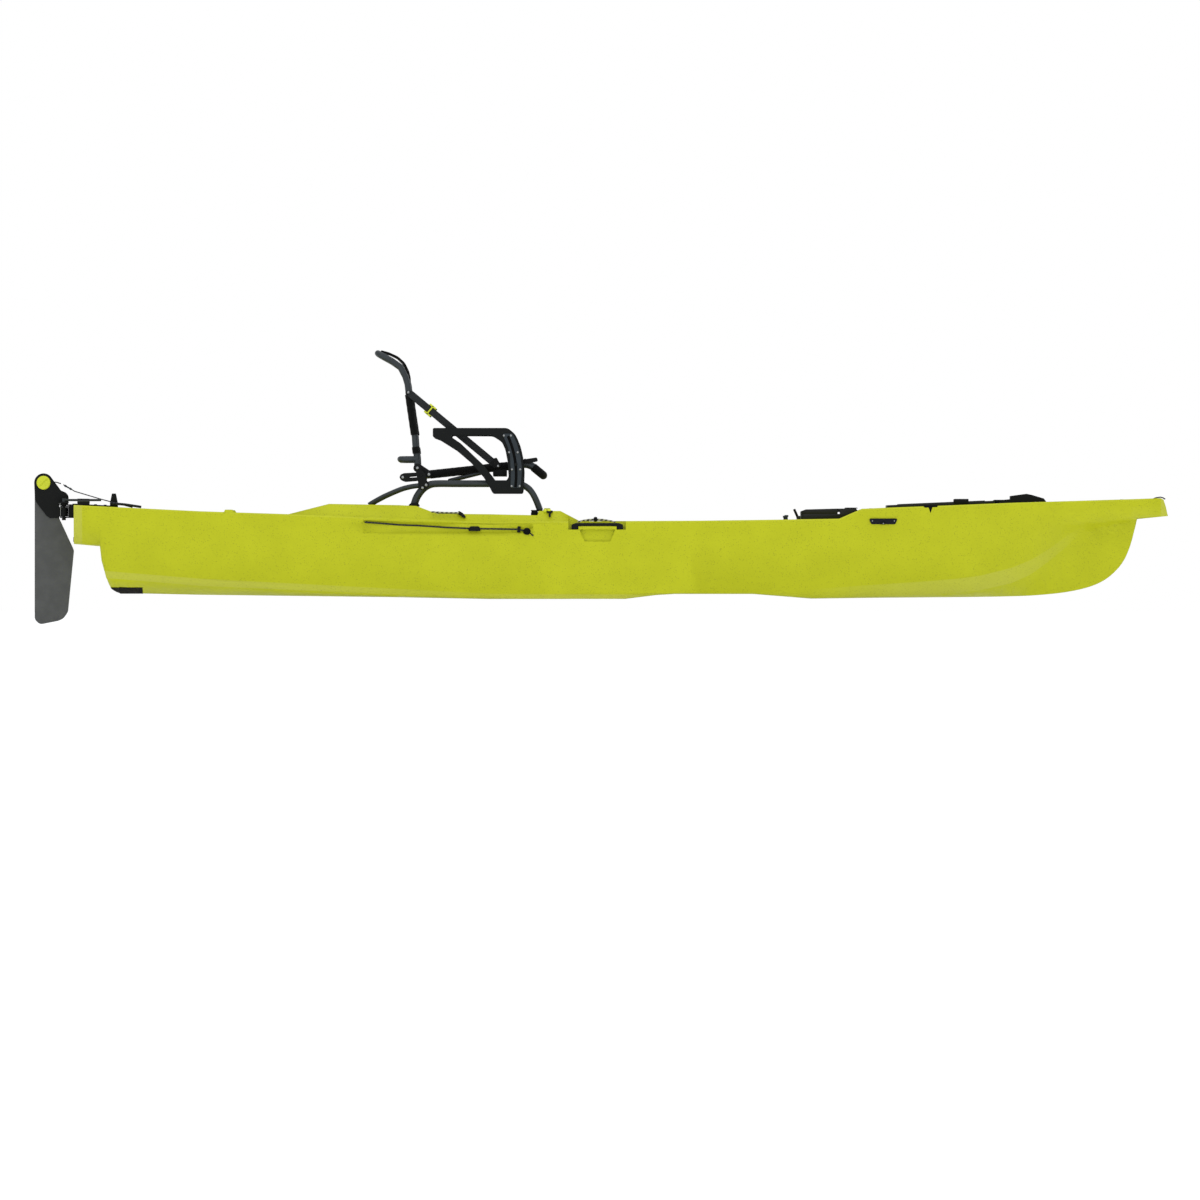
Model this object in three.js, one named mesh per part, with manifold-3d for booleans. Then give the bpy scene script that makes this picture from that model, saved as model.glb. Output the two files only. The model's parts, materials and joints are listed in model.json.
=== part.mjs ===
// Pedal kayak with a framed seat, a drop rudder and a docking pedal drive.
// Millimetres; +X to the bow, +Y to port, +Z up; the origin lies on the flat keel below the seat.
import * as THREE from 'three';
import { mergeVertices } from 'three/addons/utils/BufferGeometryUtils.js';
import Module from 'manifold-3d';

const wasm = await Module();
wasm.setup();

// Sizes that every piece shares
const gap = 0.3; // clearance between pieces that touch or turn in each other
const overrun = 60; // how far a cut runs past what it cuts
const weld = 0.001; // vertices closer than this are one
const tubeFacets = 8;
const cornerShare = 0.45; // a rounded corner takes at most this share of each side
const degree = Math.PI / 180;
const starboard = -1;
const port = 1;
const sides = [['right', starboard], ['left', port]];

// Finishes
const finishes = {
  limeShell: { color: 0xbcc026, roughness: 0.55, metalness: 0 },
  limeTrim: { color: 0xd8dc46, roughness: 0.5, metalness: 0 },
  blackPlastic: { color: 0x1c1d1d, roughness: 0.6, metalness: 0 },
  greyTube: { color: 0x3a4042, roughness: 0.4, metalness: 0.7 },
  blackTube: { color: 0x17191a, roughness: 0.5, metalness: 0.4 },
  slateMetal: { color: 0x2c3032, roughness: 0.45, metalness: 0.6 },
  meshCloth: { color: 0x202222, roughness: 0.9, metalness: 0 },
  webbing: { color: 0x1e2020, roughness: 0.9, metalness: 0 },
  cordBlack: { color: 0x24262a, roughness: 0.8, metalness: 0 },
  bladeGrey: { color: 0x545656, roughness: 0.6, metalness: 0 },
  steel: { color: 0xa8acae, roughness: 0.3, metalness: 0.9 },
};

// Solids and outlines

function solid(geometry) {
  const plain = geometry.clone();
  plain.deleteAttribute('normal');
  plain.deleteAttribute('uv');
  const merged = mergeVertices(plain, weld);
  const corners = [];
  for (let i = 0; i < merged.index.count; i += 3) {
    const [a, b, c] = [0, 1, 2].map((step) => merged.index.getX(i + step));
    if (a !== b && b !== c && c !== a) corners.push(a, b, c);
  }
  return new wasm.Manifold(new wasm.Mesh({
    numProp: 3,
    vertProperties: new Float32Array(merged.attributes.position.array),
    triVerts: new Uint32Array(corners),
  }));
}

function geometryOf(manifold) {
  const mesh = manifold.getMesh();
  const geometry = new THREE.BufferGeometry();
  geometry.setAttribute('position', new THREE.BufferAttribute(mesh.vertProperties, mesh.numProp));
  geometry.setIndex(new THREE.BufferAttribute(mesh.triVerts, 1));
  geometry.computeVertexNormals();
  return geometry;
}

function join(...parts) {
  return parts.reduce((whole, part) => whole.add(part));
}

function cut(whole, ...parts) {
  return parts.reduce((rest, part) => rest.subtract(part), whole);
}

function block([x0, y0, z0], [x1, y1, z1]) {
  const box = new THREE.BoxGeometry(Math.abs(x1 - x0), Math.abs(y1 - y0), Math.abs(z1 - z0));
  box.translate((x0 + x1) / 2, (y0 + y1) / 2, (z0 + z1) / 2);
  return solid(box);
}

function rod(from, to, radius, facets = 16, radiusTo = radius) {
  const a = new THREE.Vector3(...from);
  const b = new THREE.Vector3(...to);
  const run = b.clone().sub(a);
  const cylinder = new THREE.CylinderGeometry(radiusTo, radius, run.length(), facets);
  const turn = new THREE.Quaternion().setFromUnitVectors(new THREE.Vector3(0, 1, 0), run.normalize());
  cylinder.applyQuaternion(turn);
  cylinder.translate(...a.add(b).divideScalar(2).toArray());
  return solid(cylinder);
}

function ball(centre, radius, facets = 12) {
  const sphere = new THREE.SphereGeometry(radius, facets, facets / 2);
  sphere.translate(...centre);
  return solid(sphere);
}

function roundCorners(corners, radius, steps = 3) {
  const points = [];
  corners.forEach((corner, i) => {
    const here = new THREE.Vector2(...corner);
    const before = new THREE.Vector2(...corners.at(i - 1)).sub(here);
    const after = new THREE.Vector2(...corners[(i + 1) % corners.length]).sub(here);
    const turn = before.clone().normalize().dot(after.clone().normalize());
    const open = Math.acos(THREE.MathUtils.clamp(turn, -1, 1));
    const side = Math.min(before.length(), after.length());
    const reach = Math.min(radius / Math.tan(open / 2), side * cornerShare);
    const start = here.clone().addScaledVector(before.normalize(), reach);
    const end = here.clone().addScaledVector(after.normalize(), reach);
    const bend = new THREE.QuadraticBezierCurve(start, here, end);
    points.push(...bend.getPoints(steps).map((point) => [point.x, point.y]));
  });
  return points;
}

function extrude(outline, depth, holes = []) {
  const shape = new THREE.Shape(outline.map((point) => new THREE.Vector2(...point)));
  shape.holes = holes.map((hole) => new THREE.Path(hole.map((point) => new THREE.Vector2(...point))));
  return new THREE.ExtrudeGeometry(shape, { depth, bevelEnabled: false, steps: 1 });
}

// An outline in X and Z given a thickness along Y, between the planes y0 and y1
function plate(outline, y0, y1, holes = []) {
  const geometry = extrude(outline, Math.abs(y1 - y0), holes);
  geometry.rotateX(Math.PI / 2);
  geometry.translate(0, Math.max(y0, y1), 0);
  return solid(geometry);
}

// An outline in X and Y given a height, between z0 and z1
function slab(outline, z0, z1, holes = []) {
  const geometry = extrude(outline, z1 - z0, holes);
  geometry.translate(0, 0, z0);
  return solid(geometry);
}

// Triangles that close a ring by slices taken across it, from its first and last points up to a stop
function slices(first, last, stop = last) {
  const triangles = [];
  for (let i = first, j = last; i < j && i < stop; i += 1, j -= 1) {
    triangles.push([i, i + 1, j - 1], [i, j - 1, j]);
  }
  return triangles.filter(([a, b, c]) => a !== b && b !== c && c !== a);
}

// Rings of points, each turning the same way about the direction in which they follow each other;
// closing holds the triangles that close the first and last
function loft(rings, closing) {
  const count = rings[0].length;
  const positions = rings.flat(2);
  const faces = [];
  for (let k = 0; k + 1 < rings.length; k += 1) {
    for (let i = 0; i < count; i += 1) {
      const next = (i + 1) % count;
      const [a, b] = [k * count + i, k * count + next];
      const [c, d] = [b + count, a + count];
      faces.push(a, b, c, a, c, d);
    }
  }
  const last = (rings.length - 1) * count;
  for (const [a, b, c] of closing) {
    faces.push(c, b, a);
    faces.push(last + a, last + b, last + c);
  }
  const geometry = new THREE.BufferGeometry();
  geometry.setAttribute('position', new THREE.Float32BufferAttribute(positions, 3));
  geometry.setIndex(faces);
  return solid(geometry);
}

// A recess whose outline changes evenly from its floor to its rim
function basin(floorOutline, rimOutline, floorZ, rimZ) {
  const ring = (outline, z) => outline.map(([x, y]) => [x, y, z]);
  return loft([ring(floorOutline, floorZ), ring(rimOutline, rimZ)], slices(0, floorOutline.length - 1));
}

// Straight runs joined by round bends, with a ring at each end of a run and a few along each bend
class BentRoute extends THREE.Curve {
  constructor(corners, bend, bendSteps) {
    super();
    const points = corners.map((corner) => new THREE.Vector3(...corner));
    this.stations = [points[0]];
    for (let i = 1; i + 1 < points.length; i += 1) {
      const back = points[i - 1].clone().sub(points[i]);
      const ahead = points[i + 1].clone().sub(points[i]);
      const open = back.angleTo(ahead);
      const side = Math.min(back.length(), ahead.length());
      const reach = Math.min(bend / Math.tan(open / 2), side * cornerShare);
      const start = points[i].clone().addScaledVector(back.normalize(), reach);
      const end = points[i].clone().addScaledVector(ahead.normalize(), reach);
      const arc = new THREE.QuadraticBezierCurve3(start, points[i], end);
      this.stations.push(...(bend > 0 ? arc.getPoints(bendSteps) : [points[i]]));
    }
    this.stations.push(points.at(-1));
  }

  getPoint(t, target = new THREE.Vector3()) {
    const place = t * (this.stations.length - 1);
    const before = Math.min(Math.floor(place), this.stations.length - 2);
    return target.copy(this.stations[before]).lerp(this.stations[before + 1], place - before);
  }

  getPointAt(u, target) {
    return this.getPoint(u, target);
  }

  getTangentAt(u, target = new THREE.Vector3()) {
    const last = this.stations.length - 1;
    const here = Math.round(u * last);
    const before = this.stations[Math.max(here - 1, 0)];
    const after = this.stations[Math.min(here + 1, last)];
    return target.copy(after).sub(before).normalize();
  }
}

function ringOutline(radius, facets) {
  return Array.from({ length: facets }, (_, i) => {
    const angle = (i + 0.5) * 2 * Math.PI / facets;
    return [radius * Math.cos(angle), radius * Math.sin(angle)];
  });
}

// How far a tube's flat sides lie from its middle
const innerReach = (radius, facets) => radius * Math.cos(Math.PI / facets);

function pipe(corners, radius, bend = 0, facets = tubeFacets, bendSteps = 3) {
  const route = new BentRoute(corners, bend, bendSteps);
  const shape = new THREE.Shape(ringOutline(radius, facets).map((point) => new THREE.Vector2(...point)));
  const geometry = new THREE.ExtrudeGeometry(shape, {
    steps: route.stations.length - 1, extrudePath: route, bevelEnabled: false,
  });
  return solid(geometry);
}

// A flat band that follows corners in X and Z, of the given width there and thickness along Y
function band(points, width, y0, y1) {
  const left = [];
  const right = [];
  points.forEach(([x, z], i) => {
    const [x0, z0] = points[Math.max(i - 1, 0)];
    const [x1, z1] = points[Math.min(i + 1, points.length - 1)];
    const run = Math.hypot(x1 - x0, z1 - z0);
    const [nx, nz] = [-(z1 - z0) / run, (x1 - x0) / run];
    left.push([x + nx * width / 2, z + nz * width / 2]);
    right.unshift([x - nx * width / 2, z - nz * width / 2]);
  });
  return plate([...right, ...left], y0, y1);
}

// The drawing's tables hold pairs: a share along the table, then the share of the size that it sets

function along(shares, at) {
  const next = shares.findIndex(([place]) => place >= at);
  if (next <= 0) return next < 0 ? shares.at(-1)[1] : shares[0][1];
  const [[a, from], [b, to]] = [shares[next - 1], shares[next]];
  return from + (to - from) * (at - a) / (b - a);
}

function faired(shares, at) {
  const next = shares.findIndex(([place]) => place >= at);
  if (next <= 0) return next < 0 ? shares.at(-1)[1] : shares[0][1];
  const slope = (i) => {
    const [[a, from], [b, to]] = [shares[Math.max(i - 1, 0)], shares[Math.min(i + 1, shares.length - 1)]];
    return (to - from) / (b - a);
  };
  const [[a, from], [b, to]] = [shares[next - 1], shares[next]];
  const [run, t] = [b - a, (at - a) / (b - a)];
  return from * (2 * t ** 3 - 3 * t ** 2 + 1) + to * (3 * t ** 2 - 2 * t ** 3)
    + run * (slope(next - 1) * (t ** 3 - 2 * t ** 2 + t) + slope(next) * (t ** 3 - t ** 2));
}

function placed(shares, [x, z], width, height) {
  return shares.map(([across, up]) => [x + across * width, z + up * height]);
}

// Hull lines
const hullLength = 3860;
const aftLength = 1643; // from the stern's face forward to the origin
const halfBeam = 450;
const hullDepth = 356; // from the keel up to the tip of the bow
const skin = 5; // rotomoulded wall
const gunwaleLip = 26; // height of the gunwale's upright outer band
const gunwaleRound = 6;
const gunwaleLedge = 26; // from the hull's side in to the foot of the raised side deck
const sideDeckSlope = 10;
const sideDeckInner = 238; // half the width between the raised side decks
const [ledgeShare, slopeShare, innerShare] = [0.3, 0.1, 0.7]; // of the half-width, where the hull is narrow

const keelHeightShares = [
  [0, 0.545], [0.0239, 0.522], [0.0254, 0.376], [0.0284, 0.264], [0.0301, 0.2], [0.033, 0.118], [0.0423, 0.063],
  [0.0627, 0.058], [0.1148, 0.042], [0.2977, 0.018], [0.38, 0], [0.5035, 0], [0.531, 0.038], [0.5484, 0.05],
  [0.6206, 0.05], [0.6736, 0.004], [0.7916, 0.02], [0.8757, 0.035], [0.9032, 0.065], [0.9242, 0.112],
  [0.9425, 0.194], [0.9553, 0.323], [0.9635, 0.489], [0.9681, 0.598], [0.9718, 0.775], [1, 0.845],
];
const keelBreadthShares = [
  [0, 0.1], [0.03, 0.12], [0.7, 0.12], [0.88, 0.07], [0.93, 0.035], [0.96, 0.024], [1, 0.012],
];
const lowChineHeightShares = [
  [0, 0.547], [0.0239, 0.524], [0.0254, 0.38], [0.0284, 0.27], [0.0301, 0.206], [0.033, 0.19], [0.1331, 0.115],
  [0.1965, 0.073], [0.2977, 0.032], [0.4, 0.004], [0.5035, 0.004], [0.531, 0.041], [0.5484, 0.052],
  [0.6206, 0.052], [0.6736, 0.014], [0.7916, 0.045], [0.819, 0.081], [0.8474, 0.132], [0.8757, 0.239],
  [0.8922, 0.354], [0.9059, 0.506], [0.9242, 0.671], [0.9718, 0.78], [1, 0.85],
];
const lowChineBreadthShares = [
  [0, 0.26], [0.03, 0.33], [0.1148, 0.5], [0.2023, 0.67], [0.3, 0.79], [0.42, 0.86], [0.5, 0.87], [0.6, 0.83],
  [0.7, 0.68], [0.7916, 0.45], [0.8474, 0.3], [0.8895, 0.2], [0.9242, 0.12], [0.9553, 0.055], [0.9718, 0.032],
  [1, 0.018],
];
const highChineHeightShares = [
  [0, 0.56], [0.0239, 0.54], [0.0254, 0.4], [0.0284, 0.285], [0.1331, 0.185], [0.1965, 0.137], [0.2977, 0.087],
  [0.4258, 0.05], [0.5356, 0.055], [0.6206, 0.066], [0.6904, 0.111], [0.7486, 0.149], [0.7916, 0.188],
  [0.819, 0.232], [0.8474, 0.292], [0.8684, 0.354], [0.8826, 0.43], [0.8895, 0.52], [0.9032, 0.655],
  [0.9242, 0.72], [0.9718, 0.785], [1, 0.86],
];
const highChineBreadthShares = [
  [0, 0.3], [0.03, 0.4], [0.1148, 0.57], [0.2023, 0.73], [0.3, 0.84], [0.42, 0.91], [0.5, 0.92], [0.6, 0.885],
  [0.7, 0.775], [0.7916, 0.59], [0.8474, 0.43], [0.8895, 0.305], [0.9242, 0.2], [0.9553, 0.1], [0.9718, 0.045],
  [1, 0.022],
];
const bandHeightShares = [
  [0, 0.7], [0.4, 0.6], [0.7916, 0.674], [0.8757, 0.71], [0.8968, 0.736], [0.9722, 0.796], [1, 0.87],
];
const bandBreadthShares = [
  [0, 0.33], [0.0087, 0.41], [0.0239, 0.445], [0.0627, 0.51], [0.1148, 0.61], [0.2023, 0.775], [0.2648, 0.865],
  [0.332, 0.935], [0.42, 0.975], [0.48, 0.985], [0.56, 0.975], [0.62, 0.948], [0.6983, 0.87], [0.7422, 0.803],
  [0.7916, 0.7], [0.8474, 0.545], [0.8895, 0.4], [0.9242, 0.27], [0.9553, 0.145], [0.9718, 0.08], [0.9928, 0.05],
  [1, 0.03],
];
const gunwaleHeightShares = [
  [0, 0.931], [0.0342, 0.912], [0.1148, 0.868], [0.2023, 0.836], [0.2648, 0.807], [0.2886, 0.801], [0.3795, 0.76],
  [0.42, 0.768], [0.4623, 0.767], [0.5721, 0.773], [0.6434, 0.783], [0.6983, 0.793], [0.7189, 0.891],
  [0.7422, 0.902], [0.7916, 0.922], [0.8574, 0.952], [0.9233, 0.972], [0.9928, 1], [1, 0.985],
];
const gunwaleBreadthShares = [
  [0, 0.35], [0.0087, 0.425], [0.0239, 0.455], [0.0627, 0.52], [0.1148, 0.62], [0.2023, 0.79], [0.2648, 0.88],
  [0.332, 0.95], [0.42, 0.99], [0.48, 1], [0.56, 0.99], [0.62, 0.965], [0.6983, 0.89], [0.7422, 0.83],
  [0.7916, 0.735], [0.8474, 0.59], [0.8895, 0.455], [0.9242, 0.33], [0.9553, 0.21], [0.9718, 0.15],
  [0.9928, 0.085], [1, 0.05],
];
// The raised side deck stands above the gunwale between the stern well and the seat's front feet
const sideDeckHeightShares = [
  [0, 0.931], [0.0342, 0.912], [0.1148, 0.868], [0.2023, 0.836], [0.2337, 0.94], [0.2977, 0.927], [0.3133, 0.9185],
  [0.332, 0.842], [0.3795, 0.837], [0.42, 0.827], [0.4236, 0.827], [0.4246, 0.869], [0.4445, 0.869],
  [0.4482, 0.767], [0.5721, 0.773], [0.6434, 0.783], [0.6983, 0.793], [0.7189, 0.866], [0.7422, 0.877],
  [0.7916, 0.9], [0.8574, 0.93], [0.9233, 0.955], [0.9928, 0.985], [1, 0.975],
];
const deckHeightShares = [
  [0, 0.931], [0.0342, 0.912], [0.1148, 0.868], [0.2023, 0.836], [0.4236, 0.827], [0.4482, 0.767], [0.5721, 0.773],
  [0.6434, 0.783], [0.6983, 0.793], [0.7189, 0.866], [0.7422, 0.877], [0.7916, 0.9], [0.8574, 0.93],
  [0.9233, 0.955], [0.9928, 0.985], [1, 0.975],
];
const rampShare = 0.6983; // where the foredeck starts to rise
const voidEndShare = 0.9553; // the bow is solid forward of this share of the length
const voidShiftShares = [[0, 1], [0.07, 1], [0.12, 0], [0.9, 0], [0.93, -1], [1, -1]];
const stepShares = [0.0239, 0.0254, 0.0284, 0.0301, 0.4236, 0.4246, 0.6983, voidEndShare, 0.9681, 0.9718, 0.9928];
const spacingShare = 0.006; // stations closer than this share of the length are one, except at a step

const hullX = (share) => share * hullLength - aftLength;
const deckKnots = (shares, aft, fore) => (
  shares.map(([share]) => hullX(share)).filter((x) => x > aft && x < fore)
);
const shareAt = (x) => (x + aftLength) / hullLength;
const gunwaleZ = (x) => hullDepth * along(gunwaleHeightShares, shareAt(x));
const sideDeckZ = (x) => hullDepth * along(sideDeckHeightShares, shareAt(x));
const deckZ = (x) => hullDepth * along(deckHeightShares, shareAt(x));
const keelZ = (x) => hullDepth * along(keelHeightShares, shareAt(x));
const gunwaleY = (x) => halfBeam * faired(gunwaleBreadthShares, shareAt(x));

function hullSection(share, inset) {
  const high = (shares) => hullDepth * along(shares, share);
  const wide = (shares) => halfBeam * faired(shares, share) - inset;
  const gunwale = wide(gunwaleBreadthShares);
  const dropped = along(sideDeckHeightShares, share) < along(gunwaleHeightShares, share);
  const foot = gunwale - Math.min(gunwaleLedge, gunwale * ledgeShare) + (dropped ? 2 * inset : 0);
  const shoulder = foot - Math.min(sideDeckSlope, gunwale * slopeShare);
  const half = [
    [wide(keelBreadthShares), high(keelHeightShares) + inset],
    [wide(lowChineBreadthShares), high(lowChineHeightShares) + inset],
    [wide(highChineBreadthShares), high(highChineHeightShares) + inset],
    [wide(bandBreadthShares), high(bandHeightShares)],
    [gunwale, high(gunwaleHeightShares) - gunwaleLip],
    [gunwale, high(gunwaleHeightShares) - gunwaleRound - inset],
    [gunwale - Math.min(gunwaleRound, gunwale * slopeShare), high(gunwaleHeightShares) - inset],
    [foot, high(gunwaleHeightShares) - inset],
    [shoulder, high(sideDeckHeightShares) - inset],
    [Math.min(sideDeckInner - inset, shoulder * innerShare), high(sideDeckHeightShares) - inset],
  ];
  const centreTop = [0, high(deckHeightShares) - inset];
  const other = half.map(([y, z]) => [-y, z]).reverse();
  return [...half, centreTop, ...other];
}

// The section's points: 0 is the keel's edge, 4 the gunwale's lip, 8 the shoulder, 10 the middle of the deck
const hullClosing = [
  ...slices(0, 20, 4), [4, 8, 12], [4, 12, 16], ...slices(8, 12),
  [4, 5, 6], [4, 6, 7], [4, 7, 8], [16, 12, 13], [16, 13, 14], [16, 14, 15],
];

function hullLoft(inset, endShare = 1) {
  const tables = [
    keelHeightShares, lowChineHeightShares, highChineHeightShares, gunwaleBreadthShares, gunwaleHeightShares,
    sideDeckHeightShares,
  ];
  const wanted = [...new Set(tables.flat().map(([share]) => share))].sort((a, b) => a - b);
  const stations = [];
  for (const share of wanted.filter((place) => place <= endShare)) {
    const far = stations.length === 0 || share - stations.at(-1) >= spacingShare;
    if (far || stepShares.includes(share) || share === endShare) stations.push(share);
  }
  const rings = stations.map((share) => {
    const x = hullX(share) + inset * along(voidShiftShares, share);
    return hullSection(share, inset).map(([y, z]) => [x, y, z]);
  });
  return loft(rings, hullClosing);
}

// Pedal drive: it swings about a cross pin in a slot through the floor, and docks with its leg aft
const drive = {
  x: 482, z: 120, dockAngle: 78 * degree, hub: 24, halfWidth: 30, pin: 7,
  headLength: 256, headLean: 14 * degree, armHalf: 20, caseRadius: 42, caseHalf: 50,
  legLength: 300, legChord: 50, legThick: 22, gearRadius: 20, gearNose: 34, propSetback: 45,
};
const crank = { throw: 145, axle: 9, armIn: 58, armOut: 68, armHalf: 12, pin: 5, pinEnd: 160 };
const pedal = { half: 38, inner: 76, outer: 158, thick: 20 };
const prop = {
  radius: 112, hub: 16, hubLength: 34, chord: 44, blade: 5, pitch: 28 * degree, clear: 12, blades: 2,
};
const docked = ([x, z]) => [
  drive.x + x * Math.cos(drive.dockAngle) + z * Math.sin(drive.dockAngle),
  drive.z - x * Math.sin(drive.dockAngle) + z * Math.cos(drive.dockAngle),
];
const headEnd = [-drive.headLength * Math.sin(drive.headLean), drive.headLength * Math.cos(drive.headLean)];
const propCentre = [-drive.propSetback, -drive.legLength];
const crankAt = docked(headEnd);
const propAt = docked(propCentre);
const pedalReach = crank.throw + pedal.half;

// Wells moulded into the hull
const clearance = 8; // room round what turns inside a well
const wellCorner = 45;
const tankWell = { aft: -1377, fore: -890, floor: 190, side: 72, flare: 30 };
const seatWell = { aft: -724, fore: 150, floor: 160, half: 226, flare: 8 };
const cockpit = {
  aft: 108, fore: crankAt[0] + pedalReach + clearance, floor: 142, half: 290, foreHalf: 262, flare: 62,
};
const heelWell = {
  aftReach: 182, foreReach: 186, floorReach: 120, inner: 54, outer: 205,
  floor: crankAt[1] - pedalReach - clearance, draft: 14,
};
const driveSlot = { aft: 415, fore: 588, half: 42 };
const pocketFore = 130; // from the drive's pin aft to the fore end of the propeller's pocket
const pocketRoof = 6; // from the pocket's ceiling up to the cockpit's floor
const propPocket = {
  aft: propAt[0] - prop.radius - clearance / 2, fore: drive.x - pocketFore,
  half: prop.radius + prop.clear, ceiling: cockpit.floor - pocketRoof,
};
const rimZ = hullDepth; // every open well runs up to this height

const grownBox = (aft, fore, half, foreHalf, grow) => [
  [aft - grow, -half - grow], [fore + grow, -foreHalf - grow],
  [fore + grow, foreHalf + grow], [aft - grow, half + grow],
];

function tankWellShape(grow) {
  const half = gunwaleY(tankWell.aft) - tankWell.side;
  const foreHalf = gunwaleY(tankWell.fore) - tankWell.side;
  const floor = grownBox(tankWell.aft, tankWell.fore, half - tankWell.flare, foreHalf - tankWell.flare, grow);
  const rim = grownBox(tankWell.aft - tankWell.flare, tankWell.fore + tankWell.flare / 2, half, foreHalf, grow);
  return basin(roundCorners(floor, wellCorner), roundCorners(rim, wellCorner), tankWell.floor - grow, rimZ);
}

function seatWellShape(grow) {
  const { aft, fore, half, flare } = seatWell;
  const floor = roundCorners(grownBox(aft, fore, half - flare, half - flare, grow), wellCorner);
  const rim = roundCorners(grownBox(aft - flare, fore, half, half, grow), wellCorner);
  return basin(floor, rim, seatWell.floor - grow, rimZ);
}

function cockpitShape(grow) {
  const { aft, fore, half, foreHalf, flare } = cockpit;
  const floor = roundCorners(grownBox(aft, fore, half, foreHalf, grow), wellCorner);
  const rim = roundCorners(grownBox(aft, fore, half + flare, foreHalf + flare, grow), wellCorner);
  return basin(floor, rim, cockpit.floor - grow, rimZ);
}

function heelWellShape(side, grow) {
  const { aftReach, foreReach, floorReach, inner, outer, floor, draft } = heelWell;
  const box = (aft, fore, out) => {
    const [near, far] = [inner - grow, out + grow].map((y) => y * side);
    const corners = [[aft - grow, near], [fore + grow, near], [fore + grow, far], [aft - grow, far]];
    return side === port ? corners : corners.reverse();
  };
  const low = box(crankAt[0] - floorReach, crankAt[0] + floorReach, outer - draft);
  const high = box(crankAt[0] - aftReach, crankAt[0] + foreReach, outer);
  const [floorOutline, rimOutline] = [low, high].map((outline) => roundCorners(outline, wellCorner / 2));
  return basin(floorOutline, rimOutline, floor - grow, cockpit.floor + clearance);
}

function driveSlotShape(grow) {
  const { aft, fore, half } = driveSlot;
  const [inner, outer] = [-half - grow, half + grow];
  return join(
    block([aft - grow, inner, -overrun], [fore + grow, outer, cockpit.floor + clearance]),
    block([propPocket.aft + propPocket.half, inner, -overrun], [fore + grow, outer, propPocket.ceiling + grow]),
  );
}

function propPocketShape(grow) {
  const { aft, fore, half, ceiling } = propPocket;
  const outline = roundCorners(grownBox(aft, fore, half, half, grow), half, 4);
  return slab(outline, -overrun, ceiling + grow);
}

// Things let into the gunwales and sides
const track = { aft: 330, fore: 878, y: 372, half: 14, deep: 9, thick: 8, slot: 4.5, chamber: 8, lip: 2.5, end: 22 };
const grip = {
  aft: 101, fore: 302, floor: 244, lip: 255, lipAft: 136, lipFore: 270, deep: 38,
  pocketLow: 203, pocketIn: 5, pocketDeep: 15, pocketDraft: 22,
};
const cordRecess = { aftShare: 0.2648, foreShare: 0.4195, low: 232, deep: 3, below: 5 };
const notch = { x: 1374, half: 26, deep: 25, run: 30 };

// A bar that follows the gunwale from aft to fore, between two depths below its top
function trackBar(side, aft, fore, half, low, high) {
  const outline = [
    [aft, gunwaleZ(aft) - low], [fore, gunwaleZ(fore) - low], [fore, gunwaleZ(fore) - high], [aft, gunwaleZ(aft) - high],
  ];
  return plate(outline, track.y * side - half, track.y * side + half);
}

function trackGroove(side, grow) {
  const reach = gap + grow;
  return trackBar(side, track.aft - reach, track.fore + reach, track.half + reach, track.deep + grow, -overrun);
}

function gripRecess(side, grow) {
  const inside = (halfBeam - grip.deep - grow) * side;
  const outside = (halfBeam + overrun) * side;
  const post = (aft, fore) => block([aft - grow, inside, grip.floor - grow], [fore + grow, outside, rimZ]);
  const pocketOutline = [
    [grip.lipAft + grip.pocketDraft, grip.pocketLow], [grip.lipFore - grip.pocketDraft, grip.pocketLow],
    [grip.lipFore - grip.pocketIn, grip.floor], [grip.lipAft + grip.pocketIn, grip.floor],
  ];
  const pocketInside = (halfBeam - grip.pocketDeep - grow) * side;
  const pocket = grow === 0
    ? plate(pocketOutline, pocketInside, outside)
    : block([grip.lipAft - grow, pocketInside, grip.pocketLow - grow], [grip.lipFore + grow, outside, grip.lip]);
  return join(
    block([grip.aft - grow, inside, grip.lip - grow], [grip.fore + grow, outside, rimZ]),
    post(grip.aft, grip.lipAft), post(grip.lipFore, grip.fore), pocket,
  );
}

function cordRecessShape(side, grow) {
  const [aft, fore] = [hullX(cordRecess.aftShare), hullX(cordRecess.foreShare)];
  const top = [fore, (aft + fore) / 2, aft].map((x) => [x, gunwaleZ(x) - gunwaleRound - cordRecess.below]);
  const outline = [[aft - grow, cordRecess.low - grow], [fore + grow, cordRecess.low - grow], ...top];
  return plate(outline, 0, (halfBeam + overrun) * side);
}

function bowNotch(side) {
  const { x, half, deep, run } = notch;
  const [left, right, low] = [[x - half, rimZ + deep], [x + half, rimZ + deep], [x, gunwaleZ(x) - deep]];
  const inside = (gunwaleY(x + half) - run) * side;
  return plate([low, right, left], inside, (halfBeam + overrun) * side);
}

const topWells = (grow) => join(
  tankWellShape(grow), seatWellShape(grow), cockpitShape(grow), heelWellShape(starboard, grow),
  heelWellShape(port, grow), trackGroove(starboard, grow), trackGroove(port, grow),
);
const lowWells = (grow) => join(driveSlotShape(grow), propPocketShape(grow));

// Bow hatch, console and their fittings
const hatch = {
  aft: 1221, fore: 1610, half: 150, foreHalf: 118, rimWidth: 20, rimRise: 9, corner: 40,
  lidThick: 9, lidHang: 5, fieldRise: 2.7,
};
const hatchMouth = (inset) => roundCorners(
  grownBox(hatch.aft + inset, hatch.fore - inset, hatch.half - inset, hatch.foreHalf - inset, 0), hatch.corner,
);

// Bosses that the mould raises on the deck: bungee anchors at the stern and the seat clamps' pads
const sternBoss = { x: -1094, length: 39, y: 285, width: 26, rise: 9 };
const clampPad = { x: 26, length: 30, y: 330, width: 40, rise: 10 };

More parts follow.
